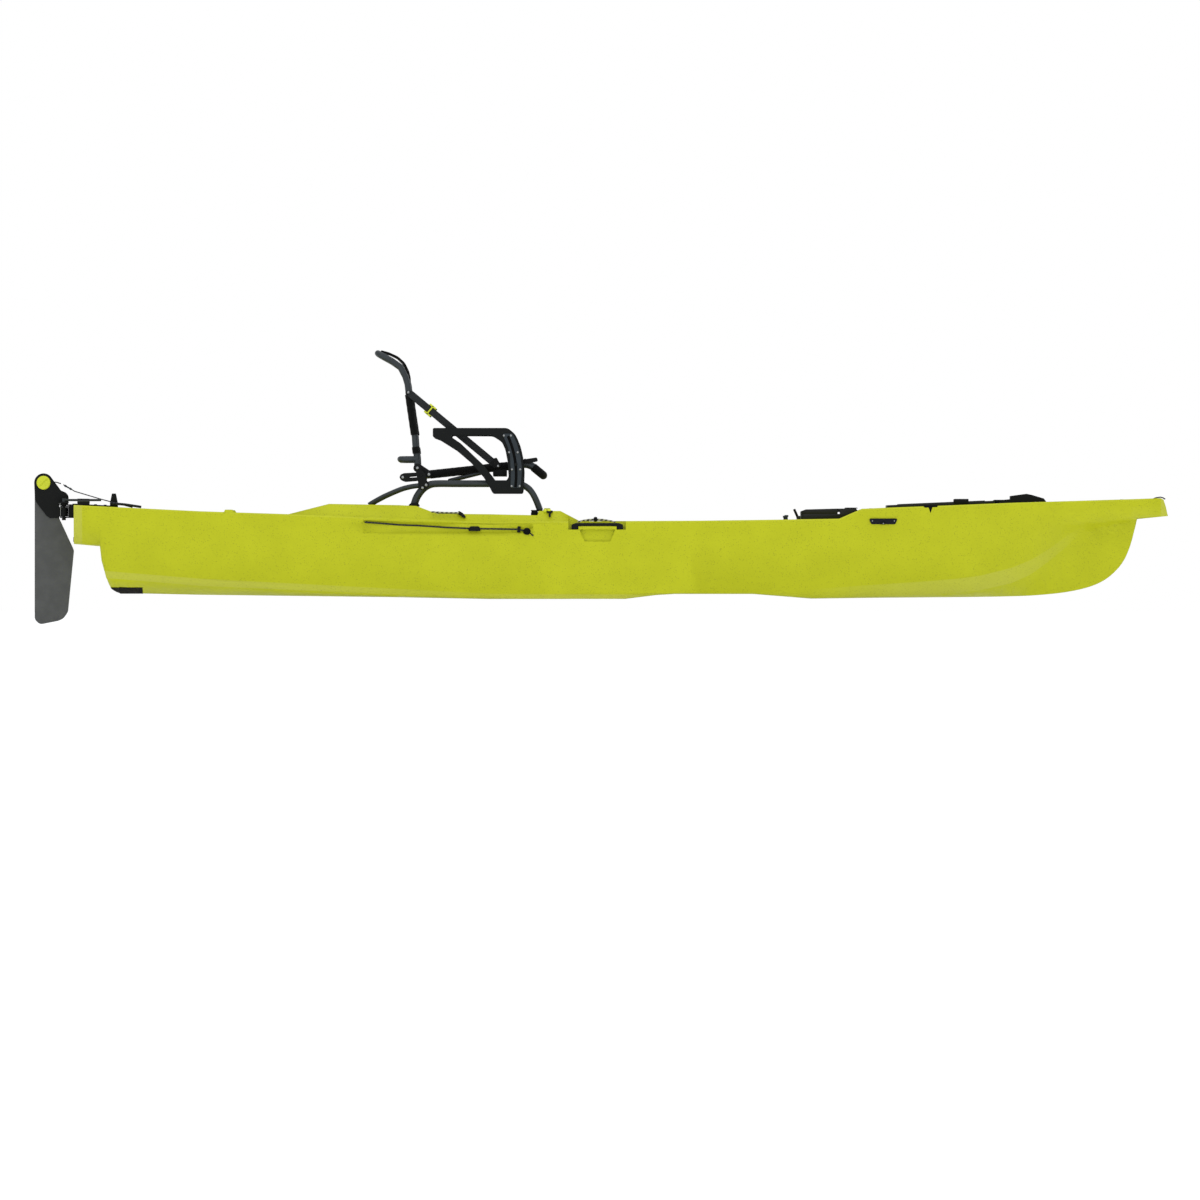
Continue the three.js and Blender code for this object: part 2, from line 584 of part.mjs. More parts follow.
function deckBoss({ x, length, y, width, rise }, side) {
  const base = sideDeckZ(x);
  const outline = [
    [x - length / 2, base - skin / 2], [x + length / 2, base - skin / 2],
    [x + length / 3, base + rise], [x - length / 3, base + rise],
  ];
  return plate(outline, (y - width / 2) * side, (y + width / 2) * side);
}

function hullShell() {
  const hull = hullLoft(0);
  const thinner = hullLoft(cordRecess.deep);
  const cordRecesses = sides.map(([, side]) => cut(cordRecessShape(side, 0), thinner));
  const grips = (grow) => join(...sides.map(([, side]) => gripRecess(side, grow)));
  const notches = join(...sides.map(([, side]) => bowNotch(side)));
  const bosses = sides.flatMap(([, side]) => [deckBoss(sternBoss, side), deckBoss(clampPad, side)]);
  const cavity = cut(hullLoft(skin, voidEndShare), topWells(skin), lowWells(skin), grips(skin));
  const mouth = slab(hatchMouth(hatch.rimWidth), deckZ(hatch.aft) - hatch.lidHang * skin, rimZ + overrun);
  const shell = cut(hull, topWells(0), lowWells(0), grips(0), ...cordRecesses, notches);
  return cut(join(shell, ...bosses), cavity, mouth);
}

// Hull fittings

const skid = { aft: -1514, knee: -1480, fore: -1401, half: 24, thick: 4, screw: 5, screwRise: 1.5 };

function skidPlate() {
  const { aft, knee, fore, half, thick } = skid;
  const under = (x, drop) => [x, keelZ(x) - drop];
  const outline = [
    under(aft, thick), under(knee, thick), under(fore, thick / 2), under(fore, gap), under(knee, gap), under(aft, gap),
  ];
  return plate(outline, -half, half);
}

const plug = { z: 210, radius: 9, bore: 7, flange: 4, shank: 16, slot: 2, ribs: 6 };

function drainPlug() {
  const face = hullX(0);
  const shank = rod([face - gap - plug.flange / 2, 0, plug.z], [face + plug.shank, 0, plug.z], plug.bore - gap, 12);
  const flange = rod([face - gap - plug.flange, 0, plug.z], [face - gap, 0, plug.z], plug.radius, 16);
  const slot = block(
    [face - plug.flange - overrun, -plug.slot, plug.z - plug.radius],
    [face - gap - plug.flange / 2, plug.slot, plug.z + plug.radius],
  );
  return cut(join(shank, flange), slot);
}

const plugHole = () => {
  const face = hullX(0);
  return rod([face - overrun, 0, plug.z], [face + plug.shank + overrun, 0, plug.z], plug.bore, 16);
};

function gearTrack(side) {
  const { aft, fore, half, deep, thick, slot, chamber, lip, end } = track;
  const bar = trackBar(side, aft, fore, half, deep - gap, deep - thick);
  const opening = trackBar(side, aft + end, fore - end, slot, deep / 2, -overrun);
  const inside = trackBar(side, aft + end, fore - end, chamber, deep - gap - lip, deep - thick + lip);
  return join(cut(bar, opening, inside), trackKnob(side));
}

// Round knob at the fore end of each track
const knob = { x: 867, radius: 7, high: 17, waist: 5 };

function trackKnob(side) {
  const y = track.y * side;
  const base = gunwaleZ(knob.x) - track.deep + track.thick;
  const top = base + knob.high;
  return join(
    rod([knob.x, y, base - track.lip], [knob.x, y, top], knob.waist, 12),
    rod([knob.x, y, top - knob.radius], [knob.x, y, top], knob.radius, 12),
  );
}

// Side carry handles: a bar on two posts in the gunwale's recess, with a finger gap behind the bar
const handle = { aft: 111.5, fore: 292.6, low: 245, high: 267, bar: 11, out: 448.6, barDeep: 12, shoulder: 16 };

function sideHandle(side) {
  const { aft, fore, low, high, bar, out, barDeep, shoulder } = handle;
  const [from, to] = [grip.lipAft - gap * 2, grip.lipFore + gap * 2];
  const inside = halfBeam - grip.deep + gap;
  const outline = [
    [aft, low], [from, low], [from, high - bar], [to, high - bar], [to, low], [fore, low], [fore, high - bar / 2],
    [fore - shoulder, high], [aft + shoulder, high], [aft, high - bar / 2],
  ];
  const fingerGap = block(
    [from + bar, (inside - overrun) * side, low - overrun],
    [to - bar, (out - barDeep) * side, high + overrun],
  );
  return cut(plate(outline, inside * side, out * side), fingerGap);
}

// Bungee loop that holds a paddle on the handle, with its bead
const bungee = { radius: 2.5, y: 443, bead: 8.5, beadHalf: 6 };
const bungeeRoute = [
  [133, 270.2], [150, 275.5], [172, 279], [188, 280], [204, 280], [222, 279], [246, 275], [266, 270.2],
];

function paddleBungee(side) {
  const loop = pipe(bungeeRoute.map(([x, z]) => [x, bungee.y * side, z]), bungee.radius);
  const [x, z] = [(bungeeRoute[3][0] + bungeeRoute[4][0]) / 2, bungeeRoute[3][1]];
  const y = bungee.y * side;
  const bead = rod([x - bungee.beadHalf, y, z], [x + bungee.beadHalf, y, z], bungee.bead, 12);
  return join(loop, bead);
}

// Cord along the side, with its slider, ending in an eye
const cord = { radius: 3, stand: 3.7, slider: 21, sliderHigh: 17, sliderDeep: 5 };
const cordRoute = [
  [-560, 267], [-494, 260.5], [-420, 257.5], [-330, 251.5], [-229, 247], [-150, 246], [-76.4, 245.3],
];
const eye = { x: -63, z: 245, half: 13, high: 9, deep: 12 };
const besideHull = (x, z, side, out) => [x, (gunwaleY(x) - cordRecess.deep + out) * side, z];

function sideCord(side) {
  const line = pipe(cordRoute.map(([x, z]) => besideHull(x, z, side, cord.stand)), cord.radius);
  const [x, z] = cordRoute[4];
  const [inner, outer] = [-cord.sliderDeep / 2, cord.sliderDeep].map((out) => (
    besideHull(x, z, side, cord.stand + out)[1]
  ));
  const half = cord.sliderHigh / 2;
  const outline = [
    [x - cord.slider, z - half], [x + cord.slider, z - half],
    [x + cord.slider / 2, z + half], [x - cord.slider / 2, z + half],
  ];
  return join(line, plate(outline, inner, outer));
}

function cordEye(side, seat) {
  const { x, z } = eye;
  const [, out] = besideHull(x, z, side, eye.deep);
  const outline = roundCorners([
    [x - eye.half, z - eye.high], [x + eye.half, z - eye.high], [x + eye.half, z + eye.high], [x - eye.half, z + eye.high],
  ], eye.high / 2, 2);
  return cut(plate(outline, (halfBeam - sideDeckInner) * side, out), seat);
}

// Oblong fitting let against the bow's side, with a lug and two screws
const fitting = {
  aft: 1157, fore: 1259, low: 262, high: 283.5, rake: 9, thick: 3, lugAft: 1197, lugFore: 1218, lugOut: 8, screw: 5,
};

function sideFitting(side, seat, skinOver) {
  const { aft, fore, low, high, rake, lugAft, lugFore, lugOut, screw } = fitting;
  const far = (halfBeam + overrun) * side;
  const middle = (low + high) / 2;
  const outline = [
    [aft + rake, low], [fore, low + rake / 2], [fore, high - rake / 2], [aft + rake, high], [aft, middle],
  ];
  const pad = plate(outline, sideDeckInner / 2 * side, far).intersect(skinOver);
  const reach = (x) => (gunwaleY(x) + lugOut) * side;
  const lug = block([lugAft, sideDeckInner * side, middle - rake / 2], [lugFore, reach(lugAft), middle + rake / 2]);
  const heads = [aft + 2 * rake, fore - rake].map((x) => rod(
    [x, sideDeckInner * side, middle], [x, (gunwaleY(x) + gap) * side, middle], screw, 10,
  ));
  return cut(join(pad, lug, ...heads), seat);
}

// Bow strap handle
const bowStrap = { aft: 2042, bolt: 2054, rise: 2160, top: 2190, fore: 2207, half: 12, thick: 4, arch: 9, washer: 11 };

function bowHandle() {
  const { aft, bolt, rise, top, fore, half, thick, arch, washer } = bowStrap;
  const lie = gap + thick / 2;
  const shoulder = deckZ(top) + arch - thick / 2;
  const route = [
    [aft, deckZ(aft) + lie], [rise, deckZ(rise) + lie], [(rise + top) / 2, shoulder],
    [top, deckZ(top) + arch], [(top + fore) / 2, shoulder], [fore, deckZ(fore) + thick],
  ];
  const strap = band(route, thick, -half, half);
  const head = rod([bolt, 0, deckZ(bolt) + lie], [bolt, 0, deckZ(bolt) + lie + thick + gap], washer - thick, 12);
  return join(strap, head);
}

// Bow hatch

// A strip that follows the deck from aft to fore, between two heights above it
function deckStrip(aft, fore, low, high) {
  const places = [aft, ...deckKnots(deckHeightShares, aft, fore), fore];
  const lower = places.map((x) => [x, deckZ(x) + low]);
  const upper = places.map((x) => [x, deckZ(x) + high]).reverse();
  return [...lower, ...upper];
}

function onDeck(outline, low, high, holes = []) {
  const xs = outline.map(([x]) => x);
  const strip = deckStrip(Math.min(...xs) - overrun, Math.max(...xs) + overrun, low, high);
  return slab(outline, 0, rimZ + overrun, holes).intersect(plate(strip, -halfBeam, halfBeam));
}

const hinge = { barrel: 6, lug: 62, lugThick: 12, pin: 3, room: 2.5 };
const hatchPivot = { x: hatch.fore - hinge.barrel, z: deckZ(hatch.fore) + hatch.rimRise + gap + hinge.barrel };

const hatchRim = () => onDeck(hatchMouth(0), gap, hatch.rimRise, [hatchMouth(hatch.rimWidth)]);

// Room in a lid for the two lugs that carry its pin
function lugRoom({ x, z }, lugs) {
  return join(...sides.map(([, side]) => block(
    [x - hinge.barrel - hinge.room * 2, (lugs - hinge.room) * side, z - overrun],
    [x + overrun, (lugs + hinge.lugThick + hinge.room) * side, z + overrun],
  )));
}

// A hinge line along Y: the lid's barrel and pin, and the lugs that hold the pin
function lidBarrel({ x, z }, lugs) {
  return join(
    rod([x, -lugs + hinge.room, z], [x, lugs - hinge.room, z], hinge.barrel, 16),
    rod([x, -lugs - hinge.lugThick / 2, z], [x, lugs + hinge.lugThick / 2, z], hinge.pin, 12),
  );
}

function hingeLugs({ x, z }, lugs, root) {
  return join(...sides.map(([, side]) => {
    const near = lugs * side;
    const far = (lugs + hinge.lugThick) * side;
    const arm = block([x, near, z - hinge.barrel], [root, far, z + hinge.barrel]);
    const boreEnd = (lugs + hinge.lugThick / 2 + hinge.room) * side;
    const bore = rod([x, near - hinge.room * side, z], [x, boreEnd, z], hinge.pin + gap, 12);
    return cut(join(arm, rod([x, near, z], [x, far, z], hinge.barrel, 16)), bore);
  }));
}

function hatchLid() {
  const { rimRise, lidThick, lidHang, rimWidth } = hatch;
  const top = onDeck(hatchMouth(-gap), rimRise + gap, rimRise + gap + lidThick);
  const field = onDeck(hatchMouth(rimWidth * 2), rimRise + lidThick, rimRise + lidThick + hatch.fieldRise);
  const lipInside = hatchMouth(rimWidth + lidHang * 2);
  const lip = onDeck(hatchMouth(rimWidth + lidHang), rimRise - lidHang, rimRise + lidThick / 2, [lipInside]);
  const trim = block([hatchPivot.x, -halfBeam, 0], [hatchPivot.x + overrun, halfBeam, rimZ + overrun]);
  const leaf = cut(join(top, field, lip), trim, lugRoom(hatchPivot, hinge.lug));
  return join(leaf, lidBarrel(hatchPivot, hinge.lug));
}

const hump = { aft: 1616, fore: 1787, half: 88, foreHalf: 74, peak: 1716, rise: 38, shoulderRise: 19 };

function hingeCover() {
  const { aft, fore, half, foreHalf, peak, rise, shoulderRise } = hump;
  const seat = (x) => deckZ(x) + gap;
  const outline = [
    [aft, seat(aft)], [peak, seat(peak)], [fore, seat(fore)], [fore, seat(fore) + shoulderRise / 3],
    [fore - shoulderRise / 2, seat(fore) + shoulderRise], [peak + shoulderRise, seat(peak) + rise * 0.9],
    [peak, seat(peak) + rise], [peak - shoulderRise * 3, seat(peak) + rise * 0.8],
    [peak - shoulderRise * 3, seat(peak) + shoulderRise], [aft, seat(aft) + shoulderRise],
  ];
  const plan = roundCorners([[aft, -half], [fore, -foreHalf], [fore, foreHalf], [aft, half]], shoulderRise);
  const body = plate(outline, -half, half).intersect(slab(plan, 0, rimZ + overrun));
  return join(body, hingeLugs(hatchPivot, hinge.lug, aft + shoulderRise));
}

// Latches that swing out from the lid's edge
const latch = { x: 1486, half: 25, thick: 4, leg: 13, boss: 5, inset: 18 };

function latchPlace(side) {
  const share = (latch.x - hatch.aft) / (hatch.fore - hatch.aft);
  const edge = hatch.half + (hatch.foreHalf - hatch.half) * share;
  const lidTop = deckZ(latch.x + latch.half) + hatch.rimRise + gap + hatch.lidThick;
  return { x: latch.x, y: (edge - latch.inset) * side, z: lidTop + gap + latch.boss };
}

function hatchLatch(side) {
  const { y, z } = latchPlace(side);
  const edge = y + latch.inset * side;
  const outside = edge + (latch.half / 2) * side;
  const barrel = rod([latch.x - latch.half, y, z], [latch.x + latch.half, y, z], latch.boss, 10);
  const arm = block([latch.x - latch.half, y, z - latch.thick / 2], [latch.x + latch.half, outside, z + latch.thick / 2]);
  const leg = block(
    [latch.x - latch.half, outside - latch.thick * side, z - latch.leg],
    [latch.x + latch.half, outside, z + latch.thick / 2],
  );
  return join(barrel, arm, leg);
}

// Console box ahead of the cockpit
const consoleBox = {
  aft: 919, fore: 1123, half: 92, seam: 300, aftTop: 316, foreTop: 319, bevel: 9, wall: 6, hingeX: 1050, floor: 8,
};
const consolePivot = { x: consoleBox.hingeX, z: consoleBox.foreTop - hinge.barrel };

function consoleBody() {
  const { aft, fore, half, seam, foreTop, bevel, wall, hingeX, floor } = consoleBox;
  const bend = hullX(rampShare);
  const root = hingeX + hinge.barrel + hinge.room;
  const outline = [
    [aft, deckZ(aft) + gap], [bend, deckZ(bend) + gap], [fore, deckZ(fore) + gap], [fore, foreTop - bevel],
    [fore - bevel, foreTop], [root, foreTop], [root, seam], [aft, seam],
  ];
  const plan = roundCorners(grownBox(aft, fore, half, half, 0), bevel * 2);
  const shell = plate(outline, -half, half).intersect(slab(plan, 0, rimZ));
  const inside = block(
    [aft + wall, -half + wall, deckZ(aft) + floor], [root - wall * 2, half - wall, seam + overrun],
  );
  return join(cut(shell, inside), hingeLugs(consolePivot, hinge.lug, root + wall));
}

function consoleLid() {
  const { aft, half, seam, aftTop, foreTop, bevel } = consoleBox;
  const outline = [
    [aft, seam + gap], [consolePivot.x, seam + gap], [consolePivot.x, foreTop], [aft + bevel * 2, aftTop],
    [aft, seam + bevel],
  ];
  const plan = roundCorners(grownBox(aft, consolePivot.x + bevel * 3, half, half, 0), bevel * 2);
  const leaf = plate(outline, -half, half).intersect(slab(plan, 0, rimZ));
  return join(cut(leaf, lugRoom(consolePivot, hinge.lug)), lidBarrel(consolePivot, hinge.lug));
}

const cap = { x: 1098, radius: 24, topRadius: 21.5, thick: 3.5, port: 1177, portRadius: 16, portHigh: 10 };

const capFoot = consoleBox.foreTop + gap;
const consoleCap = () => rod([cap.x, 0, capFoot], [cap.x, 0, capFoot + cap.thick], cap.radius, 24, cap.topRadius);

function deckPort() {
  const { port: x, portHigh, portRadius } = cap;
  const post = rod([x, 0, deckZ(x) - portHigh], [x, 0, deckZ(x) + portHigh], portRadius, 24);
  return cut(post, plate(deckStrip(x - overrun, x + overrun, -overrun, gap), -overrun, overrun));
}

// Lever at the front edge of the cockpit, on its own bracket
const lever = {
  x: 910, z: 288, pin: 3, half: 5, length: 32, lean: 24 * degree, thick: 4.5, boss: 5.5, bracket: 9, cheek: 3,
};

function deckLever() {
  const tip = [-lever.length * Math.sin(lever.lean), 0, lever.length * Math.cos(lever.lean)];
  return join(
    rod([0, 0, 0], tip, lever.thick, 10),
    rod([0, -lever.half, 0], [0, lever.half, 0], lever.boss, 12),
    rod([0, -lever.half - lever.cheek, 0], [0, lever.half + lever.cheek, 0], lever.pin, 10),
  );
}

function leverBracket() {
  const { x, z, half, cheek, bracket, pin, boss: thick } = lever;
  const room = half + gap;
  const foot = deckZ(x) + gap;
  const whole = block([x - bracket / 2, -room - cheek * 2, foot], [consoleBox.aft + gap, room + cheek * 2, z + thick]);
  const slot = block([x - overrun, -room, z - thick - gap * 2], [x + bracket / 2 + gap, room, z + overrun]);
  const behind = block([x, -room, z - thick - gap * 2], [x + bracket / 2 + cheek, room, z + overrun]);
  const bore = rod([x, -room - cheek - gap, z], [x, room + cheek + gap, z], pin + gap, 12);
  return cut(whole, slot, behind, bore);
}

// Seat: a tube frame on the side decks, a tilting pan and a folding backrest slung between tubes

const seat = {
  y: 285, tube: 11, cross: 9, panPivot: [-418, 436.3], backPivot: [-430.7, 461], rail: 12.5, railY: 255.5,
  back: 11, backY: 255, slingThick: 6, pin: 5.5, bolt: 7,
};
const frameShares = [
  [0, 0], [0.046, 0.487], [0.137, 1], [0.803, 1], [0.874, 0.878], [0.93, 0.668], [0.976, 0.181], [1.001, -0.1],
];
const frameTube = { corner: [-444.1, 332.9], width: 443, height: 74, rearCrossX: -372, bend: 30 };
const seatFoot = {
  half: 17, aft: -3.5, fore: 9, rise: 8, knobX: -22, knobY: 312, knob: 13, knobTop: 10.5, knobHigh: 18, rearHalf: 20,
};

function seatFrame() {
  const { corner, width, height, rearCrossX, bend } = frameTube;
  const route = placed(frameShares, corner, width, height);
  const frontCross = route[4];
  const pieces = sides.map(([, side]) => {
    const y = seat.y * side;
    const tube = pipe(route.map(([x, z]) => [x, y, z]), seat.tube, bend, 8, 2);
    const [rearX, rearZ] = route[0];
    const [aft, fore] = [rearX - seatFoot.rearHalf, rearX + seatFoot.rearHalf];
    const sole = [aft, ...deckKnots(sideDeckHeightShares, aft, fore), fore].map((x) => [x, sideDeckZ(x) + gap]);
    const rearFoot = plate(
      [...sole, [fore, rearZ + seat.tube / 2], [aft, rearZ + seat.tube / 2]], y - seatFoot.half, y + seatFoot.half,
    );
    const pad = sideDeckZ(seatFoot.fore) + gap;
    const frontFoot = block(
      [seatFoot.aft, y - seatFoot.half, pad], [seatFoot.fore, y + seatFoot.half, pad + seatFoot.rise * 2],
    );
    const clamp = block(
      [seatFoot.knobX - seatFoot.knob, (seat.y - seatFoot.half) * side, pad],
      [seatFoot.fore, (seatFoot.knobY + seatFoot.knob / 2) * side, pad + seatFoot.rise],
    );
    const deck = sideDeckZ(seatFoot.knobX) + gap;
    const [knobX, knobY] = [seatFoot.knobX, seatFoot.knobY * side];
    const foot = rod([knobX, knobY, deck], [knobX, knobY, deck + seatFoot.knobHigh], seatFoot.knob, 14, seatFoot.knobTop);
    return join(tube, rearFoot, frontFoot, clamp, foot);
  });
  const crossAt = ([x, z]) => rod([x, -seat.y, z], [x, seat.y, z], seat.cross, 12);
  return join(...pieces, crossAt([rearCrossX, corner[1] + height]), crossAt(frontCross));
}

// Fixed plates outside the frame that carry the pan's pivot, with the rear brace bolted on
const hingePlate = { inner: 296.3, thick: 4, margin: 13, brace: 7.5, weldIn: 1, bolt: 6, boltHead: 2.5 };
const plateBolts = [[-482.2, 428.2], [-430.7, 461], [-390, 438.5], [-400, 401], [-412.7, 391]];
const plateCorners = [
  [-495.2, 415.2], [-425.7, 378], [-387, 378], [-377, 445], [-417.7, 474], [-443.7, 474], [-495.2, 441.2],
];
const braceShares = [[0, 0], [-0.307, -0.171], [-0.723, -0.667], [-1, -0.8]];
const brace = { corner: [-428.2, 397.8], width: 162, height: 64 };

function seatHingePlate(side) {
  const { inner, thick, margin, bolt, boltHead } = hingePlate;
  const [x, z] = seat.panPivot;
  const outline = roundCorners(plateCorners, margin, 2);
  const bore = ringOutline(seat.pin + gap, 12).map(([u, v]) => [x + u, z + v]);
  const leaf = plate(outline, inner * side, (inner + thick) * side, [bore]);
  const heads = plateBolts.map(([u, v]) => rod(
    [u, (inner + thick / 2) * side, v], [u, (inner + thick + boltHead) * side, v], bolt, 8,
  ));
  const braceY = (inner + thick + hingePlate.brace - hingePlate.weldIn) * side;
  const route = placed(braceShares, brace.corner, brace.width, brace.height);
  const [endX, endZ] = route.at(-1);
  const tube = pipe(route.map(([u, v]) => [u, braceY, v]), hingePlate.brace, margin, 8, 2);
  const shoe = block(
    [endX - margin, braceY - margin, sideDeckZ(endX - margin) + gap],
    [endX + margin, braceY + margin, endZ],
  );
  return join(leaf, ...heads, tube, shoe);
}

const rest = { corner: [-374.2, 374.5], width: 317, height: 225, inner: 296.3, outer: 322, plateThick: 3 };
const armrestShares = [
  [0, 0.955], [0.033, 1], [0.803, 1], [0.894, 0.897], [0.979, 0.562], [1, 0.337], [0.991, 0.064], [0.951, 0],
  [0.661, 0], [0.627, 0.097], [0.565, 0.24], [0.416, 0.482], [0.257, 0.673], [0.076, 0.833], [0.013, 0.874],
].reverse();
const windowShares = [
  [0.212, 0.894], [0.644, 0.894], [0.757, 0.802], [0.814, 0.593], [0.837, 0.24], [0.808, 0.185], [0.689, 0.185],
  [0.644, 0.273], [0.553, 0.433], [0.44, 0.585], [0.303, 0.769], [0.2, 0.864],
];
const slotPlateShares = [
  [0.764, 0.921], [0.877, 0.921], [0.928, 0.769], [0.968, 0.562], [0.984, 0.353], [0.968, 0.072], [0.854, 0.072],
  [0.86, 0.337], [0.849, 0.562], [0.826, 0.704],
].reverse();
const slotScrewShares = [
  [0.782, 0.89], [0.86, 0.89], [0.84, 0.629], [0.935, 0.629], [0.872, 0.361], [0.963, 0.361], [0.868, 0.1],
  [0.957, 0.1],
];
const guide = {
  radius: 335, low: -7.5 * degree, high: 24 * degree, angle: 6.3 * degree, steps: 8, screw: 4, screwHead: 1.5,
};

// The curved slot that the pan's guide pin runs in, swept about the pan's pivot
function guideSlot() {
  const [x, z] = seat.panPivot;
  const half = seat.pin + gap * 2;
  const arc = (radius) => Array.from({ length: guide.steps + 1 }, (_, i) => {
    const angle = guide.low + (guide.high - guide.low) * i / guide.steps;
    return [x + radius * Math.cos(angle), z + radius * Math.sin(angle)];
  });
  return [...arc(guide.radius + half), ...arc(guide.radius - half).reverse()];
}

function armrest(side) {
  const outline = placed(armrestShares, rest.corner, rest.width, rest.height);
  const opening = placed(windowShares, rest.corner, rest.width, rest.height);
  return plate(outline, rest.inner * side, rest.outer * side, [opening, guideSlot()]);
}

function slotPlate(side) {
  const outline = placed(slotPlateShares, rest.corner, rest.width, rest.height);
  const [inner, outer] = [rest.outer + gap, rest.outer + gap + rest.plateThick];
  const leaf = plate(outline, inner * side, outer * side, [guideSlot()]);
  const screws = placed(slotScrewShares, rest.corner, rest.width, rest.height).map(([x, z]) => rod(
    [x, (inner + gap) * side, z], [x, (outer + guide.screwHead) * side, z], guide.screw, 8,
  ));
  return join(leaf, ...screws);
}

const panRoute = [[-418, 436.3], [-105, 470.2], [-58, 478.3], [13.8, 436]];
const pan = {
  bend: 34, bracketIn: 266.5, bracketOut: 271, bracketHalf: 12, slingDrop: 2, slingAft: -398,
  slingHalf: seat.railY - innerReach(seat.rail, tubeFacets) - gap,
  hoop: 6, boxAft: -165, boxFore: -117, boxLow: 433, boxHalf: 262, pinOut: 330,
};
const hoopRoute = [[-206, 446], [-318, 418]];
const panZ = (x) => {
  const next = panRoute.findIndex(([place]) => place >= x);
  const [[a, from], [b, to]] = [panRoute[next - 1], panRoute[next]];
  return from + (to - from) * (x - a) / (b - a);
};

function panFrame() {
  const there = panRoute.map(([x, z]) => [x, -seat.railY, z]);
  const back = panRoute.map(([x, z]) => [x, seat.railY, z]).reverse();
  const rails = pipe([...there, ...back], seat.rail, pan.bend, 8, 3);
  const [pivotX, pivotZ] = seat.panPivot;
  const [backX, backZ] = seat.backPivot;
  const guideAt = [
    pivotX + guide.radius * Math.cos(guide.angle), pivotZ + guide.radius * Math.sin(guide.angle),
  ];
  const fittings = sides.flatMap(([, side]) => {
    const { bracketIn, bracketOut, bracketHalf, pinOut } = pan;
    const bore = ringOutline(seat.pin + gap, 12).map(([u, v]) => [backX + u, backZ + v]);
    const outline = roundCorners([
      [pivotX - bracketHalf, pivotZ - bracketHalf], [pivotX + bracketHalf * 3, pivotZ - bracketHalf / 2],
      [pivotX + bracketHalf * 3, pivotZ + bracketHalf], [backX + bracketHalf, backZ + bracketHalf],
      [backX - bracketHalf, backZ + bracketHalf],
    ], bracketHalf, 2);
    return [
      plate(outline, bracketIn * side, bracketOut * side, [bore]),
      rod([pivotX, seat.railY * side, pivotZ], [pivotX, (hingePlate.inner + seat.bolt) * side, pivotZ], seat.pin, 12),
      rod([guideAt[0], seat.railY * side, guideAt[1]], [guideAt[0], pinOut * side, guideAt[1]], seat.pin, 12),
    ];
  });
  const hoopSide = (side) => hoopRoute.map(([x, z]) => [x, seat.railY * side, z]);
  const hoop = pipe([...hoopSide(starboard), ...hoopSide(port).reverse()], pan.hoop, pan.bend / 2, 8, 2);
  const box = block(
    [pan.boxAft, -pan.boxHalf, pan.boxLow], [pan.boxFore, pan.boxHalf, panZ(pan.boxAft) - seat.rail / 2],
  );
  const [leverX, leverZ] = panLever.pivot;
  const stub = rod([leverX, -seat.railY, leverZ], [leverX, gap - panLever.inner, leverZ], panLever.stub, 12);
  return join(rails, ...fittings, hoop, box, stub);
}

function panSling() {
  const knees = panRoute.slice(1, 3).map(([x]) => x);
  const route = [pan.slingAft, ...knees, knees[1] + pan.bend].map((x) => [x, panZ(x) - pan.slingDrop]);
  return band(route, seat.slingThick, -pan.slingHalf, pan.slingHalf);
}

const panLever = { pivot: [-52, 489], tip: [-9, 491], inner: 268.3, outer: 278, high: 12, stub: 5 };

function panLeverPiece(side) {
  const { pivot, tip, inner, outer, high } = panLever;
  const arm = band([pivot, tip], high, inner * side, outer * side);
  return join(arm, rod([pivot[0], inner * side, pivot[1]], [pivot[0], outer * side, pivot[1]], high / 2, 14));
}

const backShares = [
  [0, 0], [-0.005, 0.094], [-0.017, 0.184], [-0.025, 0.295], [-0.038, 0.384], [-0.061, 0.541], [-0.078, 0.661],
  [-0.086, 0.73], [-0.106, 0.797], [-0.15, 0.881], [-0.228, 0.936], [-0.345, 1],
];
const backrest = {
  size: 404, bend: 60, hoopBack: -60, hoopUp: 31, strapPad: 268, padRadius: 9,
  slingHalf: seat.backY - innerReach(seat.back, tubeFacets) - gap, slingFrom: 1, slingTo: 10, pinOut: 276,
};
const backRoute = placed(backShares, seat.backPivot, backrest.size, backrest.size);

function backFrame() {
  const there = backRoute.map(([x, z]) => [x, -seat.backY, z]);
  const back = backRoute.map(([x, z]) => [x, seat.backY, z]).reverse();
  const tubes = pipe([...there, ...back], seat.back, backrest.bend / 3, 8, 1);
  const [x, z] = seat.backPivot;
  const [strapX, strapZ] = strap.top;
  const fittings = sides.flatMap(([, side]) => [
    ball([x, seat.backY * side, z], seat.back, 12),
    rod([x, seat.backY * side, z], [x, backrest.pinOut * side, z], seat.pin, 12),
    rod([strapX, seat.backY * side, strapZ], [strapX, backrest.strapPad * side, strapZ], backrest.padRadius, 12),
  ]);
  const hoopSide = (side) => [
    [x, seat.backY * side, z + backrest.hoopUp], [x + backrest.hoopBack, seat.backY * side, z + backrest.hoopUp],
  ];
  const hoop = pipe([...hoopSide(starboard), ...hoopSide(port).reverse()], seat.back, backrest.bend / 2, 8, 2);
  return join(tubes, ...fittings, hoop);
}

const backSling = () => band(
  backRoute.slice(backrest.slingFrom, backrest.slingTo + 1), seat.slingThick, -backrest.slingHalf, backrest.slingHalf,
);

const strap = {
  top: [-462, 728], bottom: [-150, 469], inner: 268.3, thick: 2, width: 25, buckle: 13, buckleShare: 0.24,
  buckleThick: 2,
};

function reclineStrap(side) {
  return band([strap.top, strap.bottom], strap.width, strap.inner * side, (strap.inner + strap.thick) * side);
}

